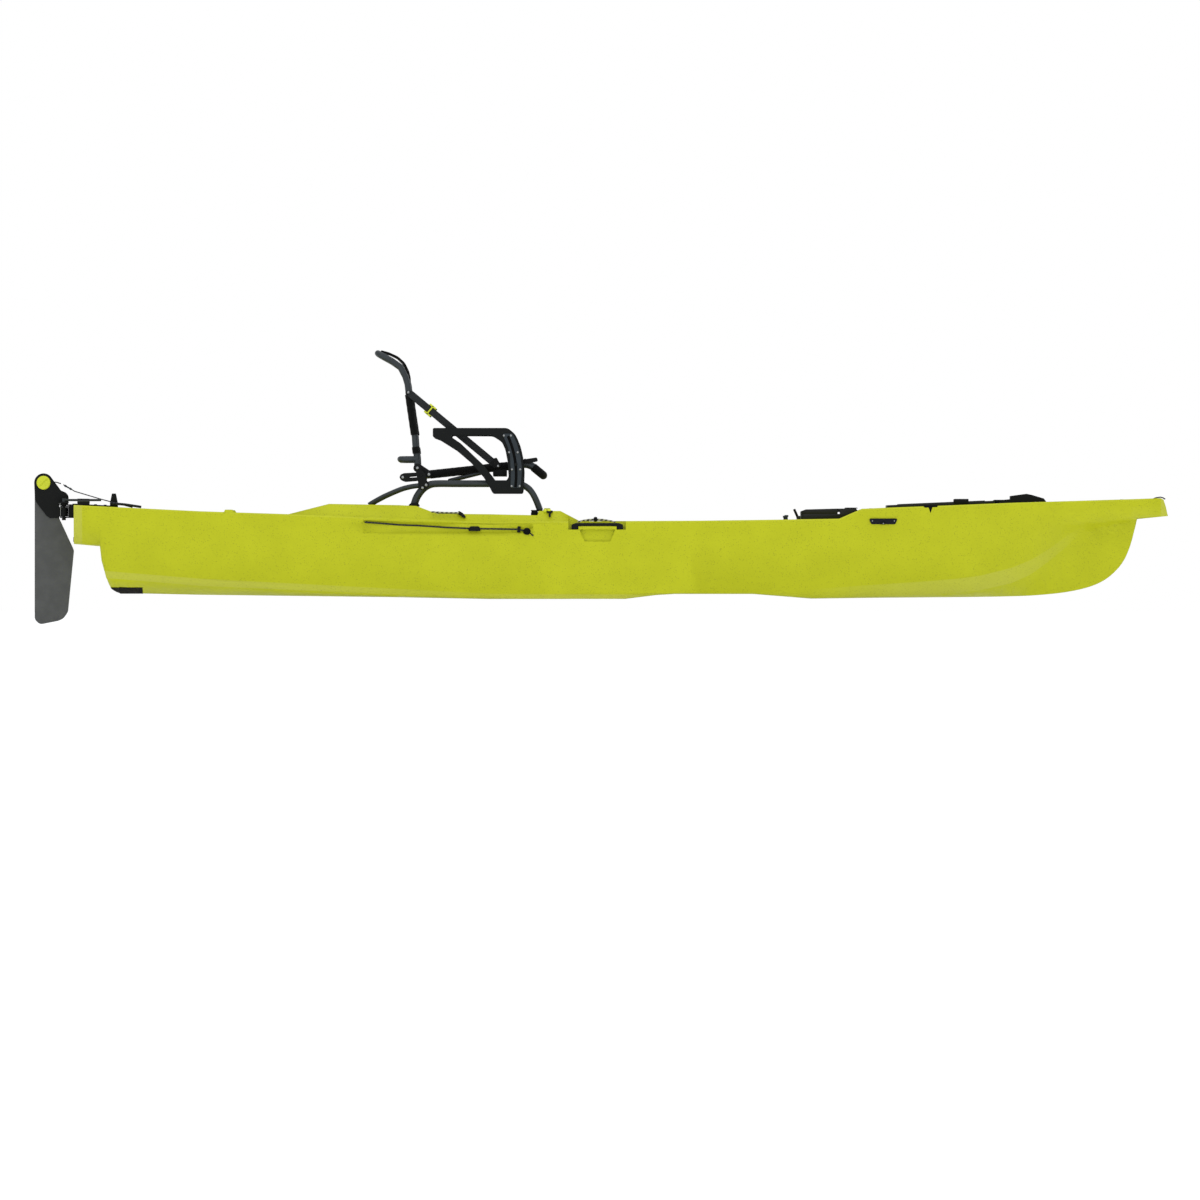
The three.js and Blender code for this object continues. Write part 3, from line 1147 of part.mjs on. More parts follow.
function strapBuckle(side) {
  const { top, bottom, inner, thick, width, buckle, buckleShare, buckleThick } = strap;
  const at = (share) => [top[0] + (bottom[0] - top[0]) * share, top[1] + (bottom[1] - top[1]) * share];
  const half = buckle / Math.hypot(bottom[0] - top[0], bottom[1] - top[1]);
  const ends = [at(buckleShare - half), at(buckleShare + half)];
  const clearIn = inner - gap;
  const clearOut = inner + thick + gap;
  const far = [at(buckleShare - half * 3), at(buckleShare + half * 3)];
  const body = band(ends, width + buckle / 2, (clearIn - buckleThick + gap) * side, (clearOut + buckleThick) * side);
  const channel = band(far, width + gap * 2, clearIn * side, clearOut * side);
  return cut(body, channel);
}

// Rudder

const rudder = {
  pinX: -1680.6, pivot: [-1752.3, 410.5], housing: 33, bladeHead: 30, cap: 25, capTop: 22.5, bladeHalf: 5,
  cheekIn: 5.3, cheekOut: 11, bolt: 6, capThick: 5, pin: 5, barrel: 12, lug: 13.5, lugRoom: 2.7, lowLug: 286,
  lugThick: 4.5, highLug: 325.3, pinHead: 8, armHalf: 21.6,
};
const yoke = { low: 338, high: 343, half: 48, aft: -1697, fore: -1664, rodY: 40, rod: 4, eye: 6, eyeHole: 3.3 };

function rudderBracket() {
  const { pinX, pin, lug, lugRoom, armHalf, lowLug, lugThick, highLug, pinHead } = rudder;
  const face = hullX(0);
  const lugs = [lowLug, highLug].map((z) => join(
    rod([pinX, 0, z], [pinX, 0, z + lugThick], lug, 20),
    block([pinX, -lug, z], [face - gap * 2, lug, z + lugThick]),
  ));
  const arm = block([pinX + lug + lugRoom, -armHalf, lowLug], [face - gap, armHalf, highLug + lugThick * 2]);
  const top = deckStrip(face + gap, deckPlate.fore, gap, deckPlate.thick);
  const plateOver = plate(top, -deckPlate.half, deckPlate.half);
  const bridge = block(
    [face - lug / 2, -armHalf, highLug + lugThick], [face + lug, armHalf, highLug + lugThick * 2.5],
  );
  const under = plate(deckStrip(face - overrun, face + overrun, -overrun, gap), -halfBeam, halfBeam);
  const over = cut(bridge, under.intersect(block([face - gap, -halfBeam, 0], [face + overrun, halfBeam, rimZ])));
  const screws = deckPlate.screws.flatMap((x) => sides.map(([, side]) => rod(
    [x, deckPlate.screwY * side, deckZ(x) + gap * 2],
    [x, deckPlate.screwY * side, deckZ(x) + deckPlate.thick + deckPlate.screwHead], deckPlate.screw, 8,
  )));
  const swingPin = join(
    rod([pinX, 0, lowLug - pinHead], [pinX, 0, highLug + lugThick + pin], pin, 16),
    rod([pinX, 0, lowLug - pinHead], [pinX, 0, lowLug + gap], pinHead, 6),
    rod([pinX, 0, highLug + lugThick - gap], [pinX, 0, highLug + lugThick + pin], pinHead, 16),
  );
  const rodGuides = sides.map(([, side]) => {
    const { aft, fore, half, high } = rodGuide;
    const y = yoke.rodY * side;
    const seatZ = deckZ(aft) + gap * 2;
    const box = block([aft, y - half, seatZ], [fore, y + half, high]);
    return cut(box, rod([aft - overrun, y, rodZ], [fore + overrun, y, rodZ], yoke.rod + gap, 12));
  });
  return join(arm, ...lugs, over, plateOver, ...screws, swingPin, ...rodGuides);
}

const rodZ = yoke.high + gap + yoke.eye;
const deckPlate = { fore: -1518, thick: 5, half: 50, screws: [-1569, -1535], screwY: 26, screw: 5, screwHead: 2 };
const rodGuide = { aft: -1632, fore: -1591, half: 8, high: 358 };

// The housing's edge from its top at the yoke round to its foot, apart from the round end about the pivot
const housingFore = [[-1664, 358], [-1666, 367], [-1674, 376], [-1691, 383]];
const housingAft = [[-1783, 354], [-1777, 340], [-1741, 293], [-1730, 286]];
const housingRoundShares = [[0.83, 0.55], [0.5, 0.87], [0, 1], [-0.5, 0.87], [-0.87, 0.5], [-1, 0]];

function rudderHead() {
  const { pinX, pin, pivot, housing, barrel, cheekIn, cheekOut, bolt, lowLug, lugThick, highLug, lug } = rudder;
  const [x, z] = pivot;
  const [low, high] = [lowLug + lugThick + gap, highLug - gap];
  const stand = pinX - lug - pin / 2;
  const outline = [
    [stand, lowLug], [stand, low], [pinX + pin, low], [pinX + pin, high], [stand, high], [stand, yoke.low],
    [yoke.fore, yoke.low], ...housingFore, ...placed(housingRoundShares, pivot, housing, housing), ...housingAft,
  ];
  const bore = ringOutline(bolt + gap, 12).map(([u, v]) => [x + u, z + v]);
  const cheeks = sides.map(([, side]) => plate(outline, cheekIn * side, cheekOut * side, [bore]));
  const post = rod([pinX, 0, low], [pinX, 0, high], barrel, 20);
  const yokeBar = block([yoke.aft, -yoke.half, yoke.low], [yoke.fore, yoke.half, yoke.high]);
  const holes = sides.map(([, side]) => rod(
    [pinX, yoke.rodY * side, yoke.low - overrun], [pinX, yoke.rodY * side, yoke.high + overrun], yoke.eyeHole, 10,
  ));
  const swingBore = rod([pinX, 0, low - overrun], [pinX, 0, high + gap * 2], pin + gap, 16);
  return cut(join(post, ...cheeks, yokeBar), swingBore, ...holes);
}

const bladePoints = [
  [-1783.7, 380], [-1783.7, -72], [-1766, -90], [-1700, -77], [-1682, -68.5], [-1666, -46], [-1645, 170],
  [-1649, 181], [-1698, 287], [-1712, 345],
];
const bladeHeadAngles = [20, 55, 90, 125, 160];

function rudderBlade() {
  const { pivot, bladeHead, bladeHalf, bolt } = rudder;
  const [x, z] = pivot;
  const head = bladeHeadAngles.map((angle) => [
    x + bladeHead * Math.cos(angle * degree), z + bladeHead * Math.sin(angle * degree),
  ]);
  const bore = ringOutline(bolt + gap, 12).map(([u, v]) => [x + u, z + v]);
  return plate([...bladePoints, ...head], -bladeHalf, bladeHalf, [bore]);
}

function rudderCap() {
  const { pivot: [x, z], cap: radius, capTop, cheekOut, capThick, bolt } = rudder;
  const shaft = rod([x, -cheekOut - capThick / 2, z], [x, cheekOut + capThick / 2, z], bolt, 12);
  const caps = sides.map(([, side]) => {
    const near = cheekOut + gap;
    const disc = rod([x, near * side, z], [x, (near + capThick) * side, z], radius, 24, capTop);
    const reach = radius / 2;
    const ends = [[x - reach, z + reach], [x + reach, z - reach]];
    const slot = band(ends, bolt * 0.7, (near + capThick / 2) * side, overrun * side);
    return cut(disc, slot);
  });
  return join(shaft, ...caps);
}

const park = { aft: -1517.8, fore: -1490, half: 20, top: 372.4, slotHalf: 7, slotDeep: 14, flare: 14 };

function parkBlock() {
  const { aft, fore, half, top, slotHalf, slotDeep, flare } = park;
  const outline = [
    [aft, deckZ(aft) + gap], [fore, deckZ(fore) + gap], [fore, deckZ(fore) + flare], [fore - flare / 2, top],
    [aft + flare / 2, top], [aft, deckZ(aft) + flare],
  ];
  const slot = block([aft - overrun, -slotHalf, top - slotDeep], [fore + overrun, slotHalf, rimZ + overrun]);
  return cut(plate(outline, -half, half), slot);
}

// Blade lift line, with its turnbuckle, from beside the housing down to the deck
const lift = { radius: 1.8, buckle: 3.6, fromShare: 0.06, toShare: 0.94 };
const liftEnd = -1438;
const liftRoute = [
  [-1682, -17, 404], [-1680, -17, 402], [-1651, -18, 385.5], [-1642, -18, 380], [-1548, -27, 352],
  [liftEnd, -28, deckZ(liftEnd) + gap + lift.radius],
];

function liftLine() {
  const at = (share) => liftRoute[1].map((value, axis) => value + (liftRoute[2][axis] - value) * share);
  return join(pipe(liftRoute, lift.radius), rod(at(lift.fromShare), at(lift.toShare), lift.buckle, 8));
}

const steering = { rodFore: -1550, hoseFrom: -1515, hoseTo: -1408, hose: 4.5 };

function steeringRod(side) {
  const y = yoke.rodY * side;
  const eyeAt = [rudder.pinX, y, rodZ];
  const line = rod([rudder.pinX, y, rodZ], [steering.rodFore, y, rodZ], yoke.rod, 12);
  return join(line, rod([eyeAt[0], y, rodZ - yoke.eye], [eyeAt[0], y, rodZ + yoke.eye], yoke.eye, 12));
}

function steeringHose(side) {
  const { hoseFrom, hoseTo, hose } = steering;
  const y = yoke.rodY * side;
  const lie = (x) => deckZ(x) + hose + gap;
  return pipe([[hoseFrom, y, lie(hoseFrom) + hose * 2], [hoseTo, y, lie(hoseTo)]], hose);
}

const helm = { x: 280, y: 262, post: 13, high: 62, grip: 10, gripHalf: 46, gripHigh: 16, foot: 20, footHigh: 8 };

function steeringHandle() {
  const base = cockpit.floor + gap;
  const { post, high, grip: half, gripHalf, gripHigh, foot, footHigh } = helm;
  const bar = roundCorners([[-gripHalf, -half], [gripHalf, -half], [gripHalf, half], [-gripHalf, half]], half, 3);
  return join(
    rod([0, 0, base], [0, 0, base + high], post, 16),
    rod([0, 0, base], [0, 0, base + footHigh], foot, 20),
    slab(bar, base + high - gripHigh / 2, base + high + gripHigh / 2),
  );
}

// Pedal drive

const ear = {
  inner: 31.3, outer: 41.5, aft: 455, fore: 510, low: 92, flangeOut: 72, flangeAft: 430, flangeFore: 526, flange: 6,
};

function driveMount() {
  const ears = sides.map(([, side]) => {
    const { inner, outer, aft, fore, low, flangeOut, flangeAft, flangeFore, flange } = ear;
    const top = cockpit.floor + gap;
    const leaf = roundCorners([[aft, low], [fore, low], [fore, top + flange], [aft, top + flange]], flange * 2, 2);
    return join(
      plate(leaf, inner * side, outer * side),
      block([flangeAft, inner * side, top], [flangeFore, flangeOut * side, top + flange]),
    );
  });
  const pin = rod([drive.x, -ear.outer, drive.z], [drive.x, ear.outer, drive.z], drive.pin, 16);
  return join(...ears, pin);
}

// The drive's own frame has its pivot as origin and its leg straight down, as it stands in use
function driveHead() {
  const [x, z] = headEnd;
  const hub = rod([0, -drive.halfWidth, 0], [0, drive.halfWidth, 0], drive.hub, 20);
  const arm = rod([0, 0, 0], [x, 0, z], drive.armHalf, 12, drive.armHalf * 0.9);
  const gearCase = rod([x, -drive.caseHalf, z], [x, drive.caseHalf, z], drive.caseRadius, 28);
  const axle = rod([x, -overrun, z], [x, overrun, z], crank.axle + gap, 16);
  const bore = rod([0, -overrun, 0], [0, overrun, 0], drive.pin + gap, 16);
  return cut(join(hub, arm, gearCase), axle, bore);
}

const legShares = [[1, 0], [0.6, 1], [-0.2, 1], [-1, 0.25], [-1, -0.25], [-0.2, -1], [0.6, -1]];

function driveLeg() {
  const { hub, legLength, legChord, legThick, gearRadius, gearNose, propSetback } = drive;
  const section = placed(legShares, [0, 0], legChord / 2, legThick / 2);
  const strut = slab(section, -legLength, 0);
  const end = propSetback - prop.hubLength / 2 - gap;
  const gearCase = join(
    rod([-end, 0, -legLength], [gearNose / 2, 0, -legLength], gearRadius, 16),
    rod([gearNose / 2 - gap, 0, -legLength], [gearNose, 0, -legLength], gearRadius, 16, gearRadius / 2),
  );
  const clearHub = rod([0, -overrun, 0], [0, overrun, 0], hub + gap, 24);
  return cut(join(strut, gearCase), clearHub);
}

const propBladeShares = [[-0.33, 0], [0.33, 0], [0.5, 0.7], [0, 1], [-0.5, 0.7]];

function propeller() {
  const { radius, hub, hubLength, chord, blade, pitch, blades } = prop;
  const pieces = Array.from({ length: blades }, (_, i) => {
    const corners = placed(propBladeShares, [0, 0], chord, radius);
    const geometry = extrude(roundCorners(corners, chord / 3, 2), blade);
    geometry.translate(0, 0, -blade / 2);
    geometry.rotateY(Math.PI / 2 - pitch);
    geometry.rotateX(i * 2 * Math.PI / blades);
    return solid(geometry);
  });
  return join(rod([-hubLength / 2, 0, 0], [hubLength / 2, 0, 0], hub, 16), ...pieces);
}

function crankSet() {
  const { throw: reach, axle, armIn, armOut, armHalf, pin, pinEnd } = crank;
  const shaft = rod([0, -armOut, 0], [0, armOut, 0], axle, 16);
  const arms = sides.flatMap(([, side]) => {
    const out = -side * reach;
    const outline = roundCorners([
      [Math.min(0, out) - armHalf, -armHalf], [Math.max(0, out) + armHalf, -armHalf],
      [Math.max(0, out) + armHalf, armHalf], [Math.min(0, out) - armHalf, armHalf],
    ], armHalf, 3);
    return [plate(outline, armIn * side, armOut * side), rod([out, armIn * side, 0], [out, pinEnd * side, 0], pin, 12)];
  });
  return join(shaft, ...arms);
}

function pedalPiece(side) {
  const { half, inner, outer, thick } = pedal;
  const corners = [[-half, -thick / 2], [half, -thick / 2], [half, thick / 2], [-half, thick / 2]];
  const body = plate(roundCorners(corners, thick / 3, 2), inner * side, outer * side);
  return cut(body, rod([0, -halfBeam, 0], [0, halfBeam, 0], crank.pin + gap, 16));
}

// The boat

const boat = new THREE.Group();

function addPiece(parent, name, shape, finish, place = [0, 0, 0]) {
  const mesh = new THREE.Mesh(geometryOf(shape), new THREE.MeshStandardMaterial(finish));
  mesh.name = name;
  mesh.position.set(...place);
  parent.add(mesh);
}

addPiece(boat, 'hull_shell', cut(hullShell(), plugHole()), finishes.limeShell);
addPiece(boat, 'keel_skid_plate', skidPlate(), finishes.blackPlastic);
addPiece(boat, 'drain_plug', drainPlug(), finishes.blackPlastic);

const sideSkin = cut(hullLoft(-fitting.thick), hullLoft(-gap));
const sideSeat = hullLoft(-gap);
const recessSeat = hullLoft(cordRecess.deep - gap);
for (const [name, side] of sides) {
  addPiece(boat, `gear_track_${name}`, gearTrack(side), finishes.slateMetal);
  addPiece(boat, `side_handle_${name}`, sideHandle(side), finishes.blackPlastic);
  addPiece(boat, `paddle_bungee_${name}`, paddleBungee(side), finishes.cordBlack);
  addPiece(boat, `side_cord_${name}`, sideCord(side), finishes.cordBlack);
  addPiece(boat, `side_cord_eye_${name}`, cordEye(side, recessSeat), finishes.blackPlastic);
  addPiece(boat, `bow_side_fitting_${name}`, sideFitting(side, sideSeat, sideSkin), finishes.blackPlastic);
}
addPiece(boat, 'bow_handle', bowHandle(), finishes.blackPlastic);

addPiece(boat, 'bow_hatch_rim', hatchRim(), finishes.blackPlastic);
addPiece(boat, 'bow_hatch_lid', hatchLid(), finishes.slateMetal);
addPiece(boat, 'bow_hatch_hinge_cover', hingeCover(), finishes.blackPlastic);
for (const [name, side] of sides) {
  addPiece(boat, `bow_hatch_latch_${name}`, hatchLatch(side), finishes.blackPlastic);
}

addPiece(boat, 'console_box', join(consoleBody(), leverBracket()), finishes.slateMetal);
addPiece(boat, 'console_lid', consoleLid(), finishes.slateMetal);
addPiece(boat, 'console_cap', consoleCap(), finishes.blackPlastic);
addPiece(boat, 'deck_port_cap', deckPort(), finishes.blackPlastic);
addPiece(boat, 'deck_lever', deckLever(), finishes.blackPlastic, [lever.x, 0, lever.z]);

addPiece(boat, 'seat_frame', seatFrame(), finishes.greyTube);
addPiece(boat, 'seat_pan_frame', panFrame(), finishes.greyTube);
addPiece(boat, 'seat_pan_sling', panSling(), finishes.meshCloth);
addPiece(boat, 'seat_back_frame', backFrame(), finishes.greyTube);
addPiece(boat, 'seat_back_sling', backSling(), finishes.meshCloth);
addPiece(boat, 'seat_tilt_lever', panLeverPiece(starboard), finishes.blackPlastic);
for (const [name, side] of sides) {
  addPiece(boat, `seat_hinge_plate_${name}`, seatHingePlate(side), finishes.slateMetal);
  addPiece(boat, `armrest_${name}`, armrest(side), finishes.slateMetal);
  addPiece(boat, `armrest_slot_plate_${name}`, slotPlate(side), finishes.blackPlastic);
  addPiece(boat, `recline_strap_${name}`, reclineStrap(side), finishes.webbing);
  addPiece(boat, `strap_buckle_${name}`, strapBuckle(side), finishes.limeTrim);
}

addPiece(boat, 'rudder_bracket', rudderBracket(), finishes.blackPlastic);
addPiece(boat, 'rudder_head', rudderHead(), finishes.blackPlastic);
addPiece(boat, 'rudder_blade', rudderBlade(), finishes.bladeGrey);
addPiece(boat, 'rudder_pivot_cap', rudderCap(), finishes.limeTrim);
addPiece(boat, 'rudder_park_block', parkBlock(), finishes.blackPlastic);
addPiece(boat, 'rudder_lift_line', liftLine(), finishes.cordBlack);
for (const [name, side] of sides) {
  addPiece(boat, `steering_rod_${name}`, steeringRod(side), finishes.steel);
  addPiece(boat, `steering_hose_${name}`, steeringHose(side), finishes.cordBlack);
}
addPiece(boat, 'steering_handle', steeringHandle(), finishes.blackPlastic, [helm.x, helm.y, 0]);

addPiece(boat, 'drive_mount', driveMount(), finishes.slateMetal);
const driveGroup = new THREE.Group();
driveGroup.position.set(drive.x, 0, drive.z);
driveGroup.rotation.y = drive.dockAngle;
boat.add(driveGroup);
addPiece(driveGroup, 'drive_head', driveHead(), finishes.slateMetal);
addPiece(driveGroup, 'drive_leg', driveLeg(), finishes.bladeGrey);
addPiece(driveGroup, 'propeller', propeller(), finishes.blackPlastic, [propCentre[0], 0, propCentre[1]]);
addPiece(boat, 'drive_crank', crankSet(), finishes.blackTube, [crankAt[0], 0, crankAt[1]]);
for (const [name, side] of sides) {
  const place = [crankAt[0] - side * crank.throw, 0, crankAt[1]];
  addPiece(boat, `pedal_${name}`, pedalPiece(side), finishes.blackPlastic, place);
}

export default boat;
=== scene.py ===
import json
import math
import bmesh
import bpy
import numpy as np
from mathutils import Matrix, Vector
from mathutils.bvhtree import BVHTree


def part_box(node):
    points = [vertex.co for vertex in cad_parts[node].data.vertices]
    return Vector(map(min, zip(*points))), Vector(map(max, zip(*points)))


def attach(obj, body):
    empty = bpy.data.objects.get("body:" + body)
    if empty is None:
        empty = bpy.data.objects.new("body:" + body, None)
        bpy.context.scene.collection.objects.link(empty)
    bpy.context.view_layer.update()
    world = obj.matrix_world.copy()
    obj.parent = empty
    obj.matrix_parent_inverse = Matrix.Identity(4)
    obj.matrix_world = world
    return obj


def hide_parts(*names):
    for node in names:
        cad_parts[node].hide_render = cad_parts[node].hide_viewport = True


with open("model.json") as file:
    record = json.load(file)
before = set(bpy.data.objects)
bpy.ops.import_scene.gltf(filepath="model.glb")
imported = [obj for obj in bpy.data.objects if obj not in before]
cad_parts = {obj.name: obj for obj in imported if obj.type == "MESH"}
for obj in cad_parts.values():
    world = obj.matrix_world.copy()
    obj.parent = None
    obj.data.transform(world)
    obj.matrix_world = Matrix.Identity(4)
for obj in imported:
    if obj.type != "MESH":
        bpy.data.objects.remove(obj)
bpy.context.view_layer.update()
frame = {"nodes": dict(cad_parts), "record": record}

record = frame["record"]
sides = [("right", -1), ("left", 1)]
bodyOf = {node: body for body, nodes in record["behaviour"]["bodies"].items() for node in nodes}
slotOf = {entry["node"]: entry["material_slot"] for entry in record["subparts"]}
print("frame loaded:", len(frame["nodes"]), "solids")

# Camera, at the side of the boat, far off with a long lens
viewpoint = {"x": 0.2118, "z": -0.0035, "distance": 88.25, "lens": 750}
cameraData = bpy.data.cameras.new("sideCamera")
cameraData.lens = viewpoint["lens"]
cameraData.clip_end = 400
camera = bpy.data.objects.new("sideCamera", cameraData)
camera.location = (viewpoint["x"], -viewpoint["distance"], viewpoint["z"])
camera.rotation_euler = (math.pi / 2, 0, 0)
bpy.context.scene.collection.objects.link(camera)
bpy.context.scene.camera = camera


# Shader wiring

class Wire:
    def __init__(self, tree, socket):
        self.tree = tree
        self.socket = socket

    def maths(self, operation, *others):
        node = self.tree.nodes.new("ShaderNodeMath")
        node.operation = operation
        for slotIn, other in zip(node.inputs, others):
            if isinstance(other, Wire):
                self.tree.links.new(other.socket, slotIn)
            else:
                slotIn.default_value = other
        return Wire(self.tree, node.outputs[0])

    def __add__(self, other):
        return self.maths("ADD", self, other)

    def __radd__(self, other):
        return self.maths("ADD", other, self)

    def __sub__(self, other):
        return self.maths("SUBTRACT", self, other)

    def __rsub__(self, other):
        return self.maths("SUBTRACT", other, self)

    def __mul__(self, other):
        return self.maths("MULTIPLY", self, other)

    def __rmul__(self, other):
        return self.maths("MULTIPLY", other, self)

    def __truediv__(self, other):
        return self.maths("DIVIDE", self, other)

    def sine(self):
        return self.maths("SINE", self)

    def size(self):
        return self.maths("ABSOLUTE", self)

    def spread(self, low, high):
        node = self.tree.nodes.new("ShaderNodeMapRange")
        node.interpolation_type = "SMOOTHSTEP"
        self.tree.links.new(self.socket, node.inputs["Value"])
        node.inputs["From Min"].default_value = low
        node.inputs["From Max"].default_value = high
        return Wire(self.tree, node.outputs["Result"])


class Finish:
    def __init__(self, name, roughness, metallic=0.0, **fixed):
        self.material = bpy.data.materials.new(name)
        self.material.use_nodes = True
        self.tree = self.material.node_tree
        self.shader = self.tree.nodes["Principled BSDF"]
        self.shader.inputs["Roughness"].default_value = roughness
        self.shader.inputs["Metallic"].default_value = metallic
        for label, value in fixed.items():
            self.shader.inputs[label.replace("_", " ")].default_value = value

    def node(self, kind, settings=None, inputs=None, output=0):
        made = self.tree.nodes.new(kind)
        for key, value in (settings or {}).items():
            if key == "stops":
                ramp = made.color_ramp
                while len(ramp.elements) < len(value):
                    ramp.elements.new(0.5)
                for element, (place, colour) in zip(ramp.elements, value):
                    element.position = place
                    element.color = (*colour, 1)
            else:
                setattr(made, key, value)
        for key, value in (inputs or {}).items():
            if isinstance(value, Wire):
                self.tree.links.new(value.socket, made.inputs[key])
            else:
                made.inputs[key].default_value = value
        return Wire(self.tree, made.outputs[output])

    def place(self):
        return self.node("ShaderNodeTexCoord", output="Object")

    def unwrapped(self):
        uv = self.node("ShaderNodeUVMap", {"uv_map": "flat"})
        parts = self.tree.nodes.new("ShaderNodeSeparateXYZ")
        self.tree.links.new(uv.socket, parts.inputs[0])
        return Wire(self.tree, parts.outputs[0]), Wire(self.tree, parts.outputs[1])

    def heights(self):
        parts = self.tree.nodes.new("ShaderNodeSeparateXYZ")
        self.tree.links.new(self.place().socket, parts.inputs[0])
        return [Wire(self.tree, socket) for socket in parts.outputs]

    def noise(self, scale, detail=2.0, roughness=0.5):
        return self.node("ShaderNodeTexNoise", inputs={
            "Vector": self.place(), "Scale": scale, "Detail": detail, "Roughness": roughness}, output="Fac")

    def cells(self, scale):
        return self.node("ShaderNodeTexVoronoi", inputs={"Vector": self.place(), "Scale": scale},
                         output="Distance")

    def blend(self, share, first, second):
        made = self.tree.nodes.new("ShaderNodeMix")
        made.data_type = "RGBA"
        for socket, value in ((made.inputs[0], share), (made.inputs[6], first), (made.inputs[7], second)):
            if isinstance(value, Wire):
                self.tree.links.new(value.socket, socket)
            elif isinstance(value, (tuple, list)):
                socket.default_value = (*value, 1)
            else:
                socket.default_value = value
        return Wire(self.tree, made.outputs[2])

    def curve(self, share, points):
        node = self.tree.nodes.new("ShaderNodeFloatCurve")
        line = node.mapping.curves[0]
        while len(line.points) < len(points):
            line.points.new(0.5, 0.5)
        for point, place in zip(line.points, points):
            point.location = place
            point.handle_type = "VECTOR"
        node.mapping.update()
        self.tree.links.new(share.socket, node.inputs["Value"])
        return Wire(self.tree, node.outputs[0])

    def feed(self, label, wire):
        self.tree.links.new(wire.socket, self.shader.inputs[label])

    def bump(self, height, depth, strength=1.0, under=None):
        inputs = {"Height": height, "Distance": depth, "Strength": strength}
        if under is not None:
            inputs["Normal"] = under
        wire = self.node("ShaderNodeBump", inputs=inputs)
        self.feed("Normal", wire)
        return wire


def linear(red, green, blue):
    channel = lambda value: value / 12.92 if value <= 0.04045 else ((value + 0.055) / 1.055) ** 2.4
    return tuple(channel(value / 255) for value in (red, green, blue))


# Finishes. The band is a painted reflection on the chine's lower face, as shares of the length (x + 1.7 m
# of 4 m) and of 0.4 m up

bandTop = [(0.0, 0.26), (0.0415, 0.248), (0.125, 0.18), (0.387, 0.044), (0.50, 0.040), (0.53, 0.030),
           (0.60, 0.03), (0.664, 0.086), (0.709, 0.120), (0.754, 0.148), (0.795, 0.181), (0.813, 0.206),
           (0.840, 0.274), (0.857, 0.342), (0.873, 0.436), (0.8895, 0.557), (0.902, 0.64), (1.0, 0.9)]
bandFoot = [(0.0, 0.195), (0.0415, 0.187), (0.125, 0.116), (0.387, 0.0), (0.70, 0.0), (0.75, 0.02),
            (0.787, 0.051), (0.814, 0.078), (0.840, 0.139), (0.857, 0.213), (0.873, 0.328), (0.8895, 0.463),
            (0.902, 0.598), (1.0, 0.9)]
bandStrength = [(0.0, 0.8), (0.2, 0.9), (0.36, 0.35), (0.42, 0.8), (0.53, 0.9), (0.56, 0.0), (0.66, 0.0),
                (0.74, 0.7), (0.83, 0.8), (0.88, 0.35), (0.905, 0.0), (1.0, 0.0)]


def limeHullFinish():
    # fine dark flecks, a paler chine band that is a painted reflection, and paler end corners that are a
    # painted highlight
    look = {"lime": (188, 193, 30), "deep": (183, 188, 28), "speck": (104, 108, 30), "pale": (192, 194, 84),
            "speckSize": 165, "peel": 0.00016}
    finish = Finish("limeHull", 0.46, Specular_IOR_Level=0.14)
    tone = finish.noise(9, 4.0)
    colour = finish.blend(tone.spread(0.3, 0.7), linear(*look["deep"]), linear(*look["lime"]))
    along, _, up = finish.heights()
    share = (along + 1.7) * 0.25
    upper = finish.curve(share, bandTop)
    lower = finish.curve(share, bandFoot)
    band = (up / 0.4 - lower).spread(-0.004, 0.004) * (upper - up / 0.4).spread(-0.006, 0.008)
    fade = finish.curve(share, bandStrength)
    # painted reflection: the chine's lower face is painted paler, as the pale floor's light on it
    paintedChineReflection = band * fade * 0.62
    colour = finish.blend(paintedChineReflection, colour, linear(*look["pale"]))
    # painted highlight: the stern and bow end corners are painted paler, as light on their rounded edges
    ends = (along * -1).spread(1.6115, 1.6145) + along.spread(2.1885, 2.1935)
    colour = finish.blend(ends * 0.5, colour, linear(*look["pale"]))
    rare = finish.noise(60, 2.0).spread(0.36, 0.56)
    speck = (1 - finish.cells(look["speckSize"]).spread(0.12, 0.30)) * rare
    fine = (1 - finish.cells(look["speckSize"] * 2.3).spread(0.10, 0.32)) * 0.5
    colour = finish.blend(speck * 0.6, colour, linear(*look["speck"]))
    colour = finish.blend(fine * 0.5, colour, linear(*look["speck"]))
    scuff = finish.noise(38, 6.0, 0.7).spread(0.58, 0.8) * (1 - up.spread(0.0, 0.05))
    colour = finish.blend(scuff * 0.25, colour, linear(*look["pale"]))
    finish.feed("Base Color", colour)
    finish.feed("Roughness", 0.42 + finish.noise(14, 3.0) * 0.12 + scuff * 0.2)
    rounded = finish.node("ShaderNodeBevel", {"samples": 6}, {"Radius": 0.0045})
    peel = finish.noise(420, 3.0) + finish.noise(45, 2.0) * 0.5
    finish.bump(peel, look["peel"], 0.4, rounded)
    return finish.material


def mouldedFinish(name, colour, roughness=0.5, grain=900, depth=0.00012, wear=0.25, metallic=0.0, coat=0.0,
                  gloss=0.09):
    finish = Finish(name, roughness, metallic, Coat_Weight=coat, Coat_Roughness=0.25,
                    Specular_IOR_Level=gloss)
    base = linear(*colour)
    lighter = tuple(min(1, value * 1.5 + 0.012) for value in base)
    darker = tuple(value * 0.88 for value in base)
    tone = finish.noise(26, 4.0).spread(0.35, 0.7)
    mixed = finish.blend(tone, darker, base)
    rub = finish.noise(70, 6.0, 0.7).spread(0.58, 0.82) * wear
    finish.feed("Base Color", finish.blend(rub, mixed, lighter))
    finish.feed("Roughness", roughness - 0.05 + finish.noise(60, 3.0) * 0.1 + rub * 0.15)
    rounded = finish.node("ShaderNodeBevel", {"samples": 4}, {"Radius": 0.0008})
    finish.bump(finish.cells(grain) + finish.noise(grain * 0.5, 2.0) * 0.5, depth, 0.5, rounded)
    return finish.material


